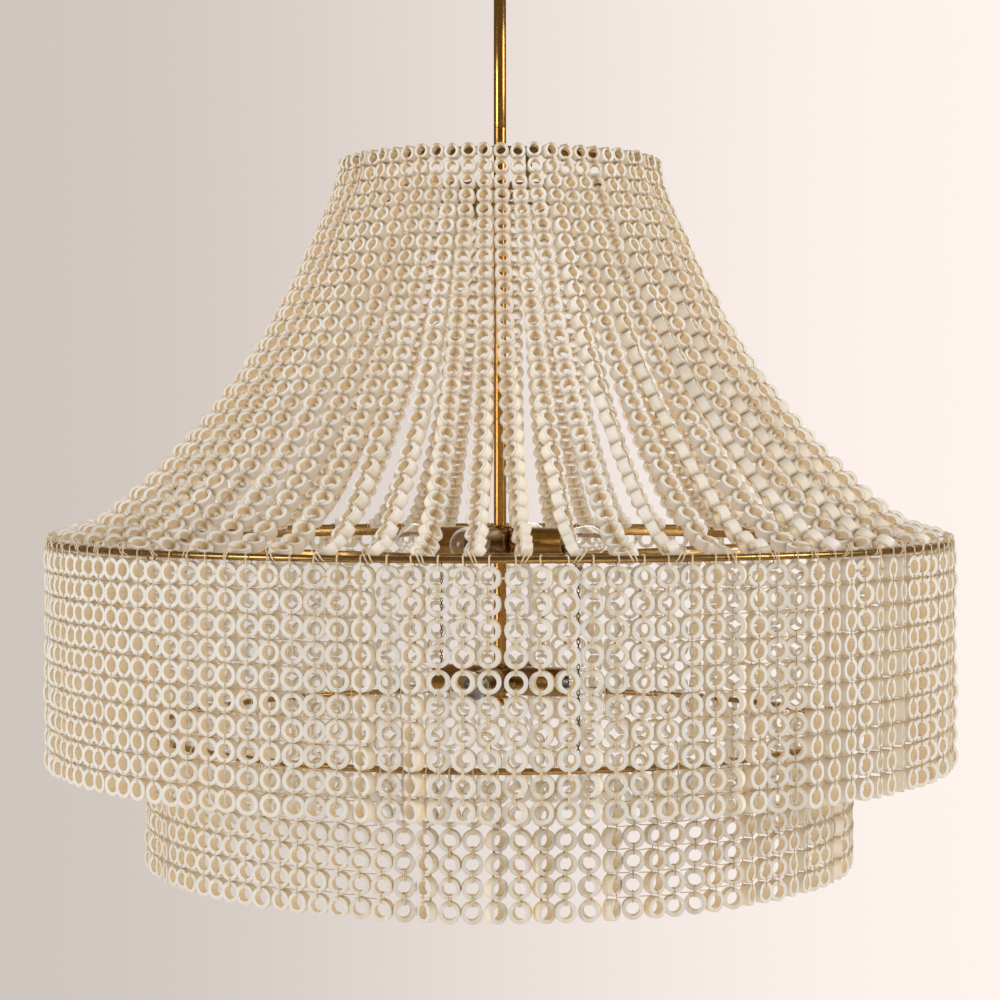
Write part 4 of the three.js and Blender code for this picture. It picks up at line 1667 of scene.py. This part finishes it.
@dataclass
class InnerTier:
    """The flat inner band, the lower rod ring, and the four chains between them."""

    radius: float = 0.352
    band_top: float = -0.628
    band_height: float = 0.008
    band_thick: float = 0.0025
    ring_height: float = -0.818
    rod: float = 0.003
    top_hole: float = -0.6405
    low_hole: float = -0.8108
    ear_hole: float = 0.0018
    ear_reach: float = 0.0036
    ear_thick: float = 0.0016
    ear_width: float = 0.0092
    eye_radius: float = 0.0036
    eye_wire: float = 0.0008
    chain_turn: float = math.radians(-90)
    link_pitch: float = 0.0037
    link_length: float = 0.0052
    link_width: float = 0.0034
    link_wire: float = 0.00045

    def build(self) -> None:
        """Builds the band, the ring and the chains."""
        inner = self.radius - self.band_thick / 2
        outer = self.radius + self.band_thick / 2
        low = self.band_top - self.band_height
        band = ring_bar(inner, outer, low, self.band_top, 160)
        angles = around(4, self.chain_turn)
        ears = [self.ear(self.top_hole, low + 0.0007, angle) for angle in angles]
        finished("inner_band", gathered([softened(band, SOFT_EDGE), *ears]), RING_BRASS,
                 "fixture", ["tier_band"])
        ears = [self.ear(self.low_hole, self.ring_height + self.rod / 2, angle)
                for angle in angles]
        ring = rod_ring(self.radius, self.rod, self.ring_height, 160)
        finished("lower_rod_ring", gathered([ring, *ears]), RING_BRASS, "lower_tier",
                 ["lower_ring"])
        for number, angle in enumerate(angles, start=1):
            links = self.chain(angle).mesh("links")
            node = f"chain_{number}"
            finished(f"link_chain_{number}", links, DARK_BRASS, node, [node])

    def ear(self, hole: float, root: float, angle: float) -> bmesh.types.BMesh:
        """Returns a flat eyelet on a short neck.

        Args:
            hole: The height of the eyelet's hole.
            root: The height at which the neck is rooted.
            angle: The ear's place about the stem.

        Returns:
            The ear.
        """
        half = self.ear_thick / 2
        eyelet = ring_bar(self.ear_hole, self.ear_reach, -half, half, 24)
        moved(softened(eyelet, 0.0003, 1), Matrix.Rotation(QUARTER_TURN, 4, "Y"),
              Matrix.Translation((self.radius, 0, hole)))
        side = math.copysign(1, root - hole)
        near = hole + side * self.ear_hole * 1.25
        neck = block(self.ear_thick, self.ear_width, abs(root - near),
                     (self.radius, 0, (root + near) / 2), 0.0003)
        return moved(gathered([eyelet, neck]), Matrix.Rotation(angle, 4, "Z"))

    def chain(self, angle: float) -> Batch:
        """Hangs a ring at each end and the links between, crosswise in turn.

        Args:
            angle: The chain's place about the stem.

        Returns:
            The rings and links.
        """
        ring_path = [Vector((0, self.eye_radius * math.cos(a), self.eye_radius * math.sin(a)))
                     for a in around(16)]
        ring = Stamp.of(wire_along(ring_path, self.eye_wire, 6, closed=True))
        link = thread_loop(self.link_length - 2 * self.link_wire,
                           self.link_width - 2 * self.link_wire, self.link_wire)
        batch = Batch()
        out = swung(1, 0, angle)
        across = UP.cross(out)
        ends = self.top_hole - self.eye_radius, self.low_hole + self.eye_radius
        for height in ends:
            batch.add(ring, set_along(swung(self.radius, height, angle), UP, across), 0.5)
        top, low = ends[0] - self.eye_radius, ends[1] + self.eye_radius
        count = round((top - low) / self.link_pitch)
        step = (top - low) / count
        for number in range(count):
            middle = swung(self.radius, top - (number + 0.5) * step, angle)
            batch.add(link, set_along(middle, UP, across if number % 2 else out), 0.5)
        return batch


@dataclass
class LampCluster:
    """Four lamp holders with clear bulbs about a turned hub on the stem."""

    tier: str
    height: float
    turn: float = math.radians(-31)
    bore: float = 0.00665
    hub_radius: float = 0.0122
    hub_half: float = 0.01275
    hub_edge: float = 0.001
    groove: float = 0.0006
    groove_inset: float = 0.0035
    waist_radius: float = 0.009
    waist_height: float = 0.0014
    cap_radius: float = 0.0115
    cap_top: float = 0.004
    cap_foot: Profile = ((0.0003, 0.0), (0.0, 0.0005))
    cap_rim: Profile = ((0.0, 0.0008), (0.0012, 0.0))
    neck_start: float = 0.0125
    neck_radius: float = 0.007
    neck_end: float = 0.0205
    neck_root: Profile = ((0.0, 0.0), (0.0, 0.002), (-0.0008, 0.003))
    neck_tip: Profile = ((-0.0008, 0.0015), (0.0006, 0.0005))
    shoulder: Profile = ((0.72, 0.0), (0.93, 0.0012), (1.0, 0.0042))
    cup_groove: Profile = ((0.0, 0.009), (0.0006, 0.0096), (0.0006, 0.0106), (0.0, 0.0112))
    cup_lip: Profile = ((0.0002, 0.003), (0.0, 0.0022), (0.0, 0.0006), (0.0006, 0.0))
    cup_radius: float = 0.015
    cup_wall: float = 0.0014
    cup_end: float = 0.07
    cup_floor: float = 0.0295
    lining_height: float = 0.012
    lining_gap: float = 0.0003
    clear: float = 0.0001
    screw_radius: float = 0.0126
    screw_seat: float = 0.0005
    contact: Profile = ((0.0, 0.0), (0.004, 0.0), (0.005, 0.0015), (0.0095, 0.004))
    ridges: int = 6
    ridge_start: float = 0.0055
    ridge_pitch: float = 0.0034
    ridge_depth: float = 0.0007
    skirt_inset: float = 0.0004
    skirt_start: float = 0.027
    skirt_end: float = 0.0305
    bulb_root: float = 0.0112
    bulb_start: float = 0.0605
    bulb_radius: float = 0.0175
    bulb_end: float = 0.112
    bulb_neck: Profile = ((0.0, 0.0655), (0.0006, 0.0695), (0.0021, 0.0755))
    bulb_shoulder: Profile = ((0.0016, 0.0845), (0.0003, 0.0905))
    glass_wall: float = 0.0006
    foot: float = 0.0605
    stand: Profile = ((0.0, -0.0005), (0.0042, -0.0005), (0.0022, 0.006), (0.0016, 0.0115),
                      (0.0, 0.0125))
    lead: Profile = ((0.0015, 0.0605), (0.003, 0.0735), (0.0055, 0.0825), (0.0052, 0.0985))
    lead_wire: float = 0.0003
    hoop_wire: float = 0.00022
    hoop_wave: float = 0.0016
    hoop_drop: float = 0.011

    def build(self) -> None:
        """Builds the hub and each holder with its bulb."""
        finished(f"{self.tier}_turned_hub", self.hub(), LAMP_BRASS, "fixture",
                 [f"{self.tier}_cluster_hub"])
        for number, angle in enumerate(around(4, self.turn), start=1):
            place = lying(angle, self.height)
            body = f"{self.tier}_bulb_{number}"
            finished(f"{self.tier}_lamp_holder_{number}", moved(self.holder(), place), LAMP_BRASS,
                     "fixture", [f"{self.tier}_socket_{number}"])
            finished(f"{self.tier}_bulb_glass_{number}", moved(self.glass(), place), LAMP_GLASS,
                     body, [body])
            finished(f"{self.tier}_bulb_cap_{number}", moved(self.screw_cap(), place), ZINC, body)
            finished(f"{self.tier}_filament_{number}", moved(self.filament(), place), ZINC, body)
            finished(f"{self.tier}_insulator_{number}", moved(self.insulator(), place), INSULATOR,
                     "fixture")

    def hub(self) -> bmesh.types.BMesh:
        """Returns the hub with its two grooves and the thin cap on its waist."""
        top, low = self.height + self.hub_half, self.height - self.hub_half
        radius, groove, edge = self.hub_radius, self.groove, self.hub_edge
        waist, cap = top + self.waist_height, top + self.cap_top
        profile = [(self.bore, low), (radius - edge, low), (radius, low + edge)]
        for level in (low + self.groove_inset, top - self.groove_inset):
            profile += [(radius, level - groove), (radius - groove, level),
                        (radius, level + groove)]
        profile += [(radius, top - edge), (radius - edge, top), (self.waist_radius, top),
                    (self.waist_radius, waist)]
        profile += [(self.cap_radius - depth, waist + rise) for depth, rise in self.cap_foot]
        profile += [(self.cap_radius - depth, cap - drop) for depth, drop in self.cap_rim]
        return turned([*profile, (self.bore, cap)], 64, closed=True)

    def holder(self) -> bmesh.types.BMesh:
        """Returns the neck, the stepped shoulder and the open cup with a rolled lip."""
        outer, inner = self.cup_radius, self.cup_radius - self.cup_wall
        neck, start, end = self.neck_radius, self.neck_start, self.neck_end
        profile = [(0, start)]
        profile += [(neck + out, start + rise) for out, rise in self.neck_root]
        profile += [(neck + out, end - drop) for out, drop in self.neck_tip]
        profile += [(outer * share, end + rise) for share, rise in self.shoulder]
        profile += [(outer - depth, end + rise) for depth, rise in self.cup_groove]
        profile += [(outer - depth, self.cup_end - drop) for depth, drop in self.cup_lip]
        profile += [(inner, self.cup_end), (inner, self.cup_floor), (0, self.cup_floor)]
        return turned(profile, 56)

    def insulator(self) -> bmesh.types.BMesh:
        """Returns the ware lining at the bottom of the cup, with a rim round the bulb's cap."""
        return ring_bar(self.screw_radius + self.lining_gap,
                        self.cup_radius - self.cup_wall - self.clear,
                        self.cup_floor + self.clear, self.cup_floor + self.lining_height, 40)

    def screw_cap(self) -> bmesh.types.BMesh:
        """Returns the bulb's screw cap with its contact and its thread."""
        start, radius = self.cup_floor + self.screw_seat, self.screw_radius - self.clear
        profile = [(out, start + rise) for out, rise in self.contact]
        for ridge in range(self.ridges):
            base = start + self.ridge_start + ridge * self.ridge_pitch
            profile += [(radius - self.ridge_depth, base), (radius, base + self.ridge_pitch / 2)]
        skirt, end = radius - self.skirt_inset, start + self.skirt_end
        profile += [(skirt, start + self.skirt_start), (skirt, end), (0, end)]
        return turned(profile, 40)

    def glass(self) -> bmesh.types.BMesh:
        """Returns the blown envelope as a thin shell."""
        root, wide = self.bulb_root, self.bulb_radius
        globe = self.bulb_end - wide
        profile = [(root, self.bulb_start)]
        profile += [(root + out, height) for out, height in self.bulb_neck]
        profile += [(wide - inset, height) for inset, height in self.bulb_shoulder]
        profile += [(wide * math.cos(turn), globe + wide * math.sin(turn))
                    for turn in (QUARTER_TURN * step / 9 for step in range(10))]
        bm = turned(profile, 48)
        bmesh.ops.solidify(bm, geom=bm.faces[:], thickness=self.glass_wall)
        return closed_up(bm)

    def filament(self) -> bmesh.types.BMesh:
        """Returns the glass foot's wires and the long filament hoop."""
        parts = []
        for side in (-1, 1):
            path = [Vector((out * side, 0, height)) for out, height in self.lead]
            parts.append(wire_along(path, self.lead_wire, 6, closed=False))
        out, height = self.lead[-1]
        path = [Vector((out * math.cos(turn), self.hoop_wave * math.sin(3 * turn),
                        height - self.hoop_drop * math.sin(turn)))
                for turn in (math.pi * step / 16 for step in range(17))]
        parts.append(wire_along(path, self.hoop_wire, 6, closed=False))
        parts.append(turned([(out, self.foot + rise) for out, rise in self.stand], 24))
        return gathered(parts)


@dataclass
class Finial:
    """The small knob under the lower cluster."""

    top: float = -0.7893
    flange: float = 0.009
    flange_height: float = 0.0018
    flange_rim: Profile = ((0.0012, 0.0018), (0.0, 0.0011), (0.0, 0.0004), (0.0004, 0.0))
    ball: float = 0.0044
    neck_share: float = 0.55
    stub: float = 0.00405
    stub_length: float = 0.013

    def build(self) -> None:
        """Builds the knob with its flange, neck and ball."""
        centre = self.top - self.flange_height - self.ball
        profile = [(0, centre - self.ball)]
        first, last = -QUARTER_TURN, math.acos(self.neck_share)
        for step in range(1, 11):
            turn = first + (last - first) * step / 10
            profile.append((self.ball * math.cos(turn), centre + self.ball * math.sin(turn)))
        profile += [(self.flange - inset, self.top - drop) for inset, drop in self.flange_rim]
        end = self.top + self.stub_length
        profile += [(self.stub, self.top), (self.stub, end), (0, end)]
        finished("finial_knob", turned(profile, 48), BRASS, "fixture", ["finial"])


# The studio round the object


@dataclass(frozen=True)
class SoftLamp:
    """A square soft lamp that looks at the middle of the object, at a bearing in degrees."""

    name: str
    bearing: float
    distance: float
    height: float
    size: float
    power: float
    colour: Colour


@dataclass
class Studio:
    """The photograph's camera, a pale room and soft lamps."""

    bearing: float = CAMERA_BEARING
    distance: float = 2.367
    eye_height: float = -0.54
    pitch: float = math.radians(1.18)
    lens: float = 83.6
    floor_height: float = -2.4
    floor_radius: float = 3.2
    floor_fade: tuple[float, float] = (0.45, 0.98)
    pale_floor: Colour = (0.84, 0.78, 0.73)
    worn_floor: Colour = (0.8, 0.74, 0.69)
    wall_reach: float = 0.21
    dim_wall: Colour = (0.625, 0.563, 0.517)
    bright_wall: Colour = (1.0, 0.905, 0.85)
    dark_room: Colour = (0.17, 0.14, 0.11)
    ambient: Colour = (1.0, 0.965, 0.92)
    ambient_strength: float = 0.66
    lamps: Sequence[SoftLamp] = (
        SoftLamp("key lamp", -32, distance=3.0, height=0.2, size=1.3, power=38,
                 colour=(1.0, 0.99, 0.97)),
        SoftLamp("fill lamp", -160, distance=3.2, height=-0.4, size=1.4, power=40,
                 colour=(1.0, 0.99, 0.97)),
        SoftLamp("back lamp", 70, distance=3.2, height=0.9, size=2.0, power=20,
                 colour=(1.0, 0.97, 0.93)),
        SoftLamp("low lamp", -82, distance=3.0, height=-1.9, size=1.8, power=11,
                 colour=(1.0, 0.95, 0.88)),
    )
    glows: Sequence[tuple[float, float]] = ((-0.46, 0.5), (-0.7, 0.6))
    glow_colour: Colour = (1.0, 0.84, 0.64)
    glow_size: float = 0.09

    def build(self) -> None:
        """Sets the camera, the room, the lamps and the view transform."""
        self.camera()
        self.room()
        self.floor()
        for wanted in self.lamps:
            self.lamp(wanted)
        for height, power in self.glows:
            self.inner_glow(height, power)
        bpy.context.scene.view_settings.view_transform = "Standard"

    def camera(self) -> None:
        """Places the camera level with the swags, looking at the stem."""
        data = bpy.data.cameras.new("photograph camera")
        data.lens = self.lens
        data.sensor_width = 36
        data.clip_start, data.clip_end = 0.05, 60
        camera = placed("photograph camera", data)
        out = Vector((math.cos(self.bearing), math.sin(self.bearing), 0))
        camera.location = out * self.distance + UP * self.eye_height
        look = -out * math.cos(self.pitch) - UP * math.sin(self.pitch)
        camera.rotation_euler = look.to_track_quat("-Z", "Y").to_euler()
        bpy.context.scene.camera = camera

    def room(self) -> None:
        """Makes the world.

        The wall behind the object brightens to the right. The object gets even light, and the
        brass has a darker room to reflect.
        """
        world = bpy.data.worlds.new("pale room")
        world.use_nodes = True
        bpy.context.scene.world = world
        graph = Graph(world.node_tree)
        across = (-math.sin(self.bearing), math.cos(self.bearing), 0)
        toward = graph.add("ShaderNodeTexCoord").outputs["Generated"]
        share = graph.add("ShaderNodeVectorMath", {0: toward, 1: across},
                          operation="DOT_PRODUCT").outputs["Value"]
        right = graph.remap(share, -self.wall_reach, self.wall_reach, smooth=True)
        wall = graph.blend(right, self.dim_wall, self.bright_wall)
        seen = graph.add("ShaderNodeLightPath").outputs
        shown = graph.maths("MAXIMUM", seen["Is Camera Ray"], seen["Is Transmission Ray"])
        lit = tuple(part * self.ambient_strength for part in self.ambient)
        colour = graph.blend(seen["Is Glossy Ray"], lit, self.dark_room)
        colour = graph.blend(shown, colour, wall)
        shader = graph.add("ShaderNodeBackground", {"Color": colour, "Strength": 1.0})
        graph.add("ShaderNodeOutputWorld", {"Surface": shader.outputs[0]})

    def floor(self) -> None:
        """Lays a round pale floor well below, which fades into the room at its edge."""
        bm = bmesh.new()
        bmesh.ops.create_circle(bm, cap_ends=True, segments=96, radius=self.floor_radius)
        moved(bm, Matrix.Translation((0, 0, self.floor_height)))
        mesh = bpy.data.meshes.new("floor")
        bm.to_mesh(mesh)
        bm.free()
        material = bpy.data.materials.new("pale floor")
        material.use_nodes = True
        graph = Graph(material.node_tree)
        place = graph.add("ShaderNodeSeparateXYZ", {0: graph.position()}).outputs
        squares = [graph.maths("POWER", part, 2.0) for part in place[:2]]
        reach = graph.maths("SQRT", graph.plus(*squares))
        start, end = (self.floor_radius * share for share in self.floor_fade)
        edge = graph.remap(reach, start, end, smooth=True)
        patches = graph.group(blotches(), {"Scale": 3.0, "Low": 0.3, "High": 0.7})
        paint = graph.add("ShaderNodeBsdfPrincipled", {
            "Base Color": graph.blend(patches, self.pale_floor, self.worn_floor),
            "Roughness": 0.8,
        })
        clear = graph.add("ShaderNodeBsdfTransparent")
        mixed = graph.add("ShaderNodeMixShader", {0: edge, 1: paint.outputs[0],
                                                  2: clear.outputs[0]})
        graph.add("ShaderNodeOutputMaterial", {"Surface": mixed.outputs[0]})
        mesh.materials.append(material)
        placed("floor", mesh)

    def lamp(self, wanted: SoftLamp) -> None:
        """Hangs one soft lamp.

        Args:
            wanted: Where it hangs and how it shines.
        """
        data = bpy.data.lights.new(wanted.name, "AREA")
        data.shape, data.size = "SQUARE", wanted.size
        data.energy, data.color = wanted.power, wanted.colour
        lamp = placed(wanted.name, data)
        turn = math.radians(wanted.bearing)
        lamp.location = (wanted.distance * math.cos(turn), wanted.distance * math.sin(turn),
                         wanted.height)
        aim = Vector((0, 0, self.eye_height)) - lamp.location
        lamp.rotation_euler = aim.to_track_quat("-Z", "Y").to_euler()

    def inner_glow(self, height: float, power: float) -> None:
        """Puts a weak warm lamp on the stem, for the light that the beads pass on inside.

        Args:
            height: Its height in the frame.
            power: Its power in watts.
        """
        data = bpy.data.lights.new("inner glow", "POINT")
        data.energy, data.color, data.shadow_soft_size = power, self.glow_colour, self.glow_size
        lamp = placed("inner glow", data)
        lamp.visible_camera = False
        lamp.visible_glossy = False
        lamp.visible_transmission = False
        lamp.location = (0, 0, height)


def dress_kept_nodes(nodes: dict[str, bpy.types.Object]) -> None:
    """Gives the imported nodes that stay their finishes."""
    for name, finish in (("ceiling_bracket", ZINC), ("stem_coupler", DARK_BRASS),
                         ("coupler_screw", DARK_BRASS)):
        mesh = nodes[name].data
        mesh.materials.clear()
        mesh.materials.append(finish.material())


def main() -> None:
    """Loads the frame, sets up the studio, finishes the kept nodes and builds every assembly."""
    logging.basicConfig(level=logging.INFO, format="%(name)s: %(message)s")
    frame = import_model()
    Studio().build()
    dress_kept_nodes(frame["nodes"])
    for assembly in (
        CeilingFitting(),
        Stem(),
        TopRing(),
        MainRing(),
        InnerTier(),
        LampCluster("upper", height=-0.631),
        LampCluster("lower", height=-0.7725),
        Finial(),
        Swags(),
        Curtain("outer", panels=11, radius=0.45, ring_height=-0.629, first_row=-0.6441,
                pitch=0.02158, rows=10, bead=OUTER_BEAD, seed=7),
        Curtain("lower", panels=9, radius=0.352, ring_height=-0.818, first_row=-0.8362,
                pitch=0.021, rows=6, bead=LOWER_BEAD, seed=19),
    ):
        assembly.build()


if __name__ == "__main__":
    main()
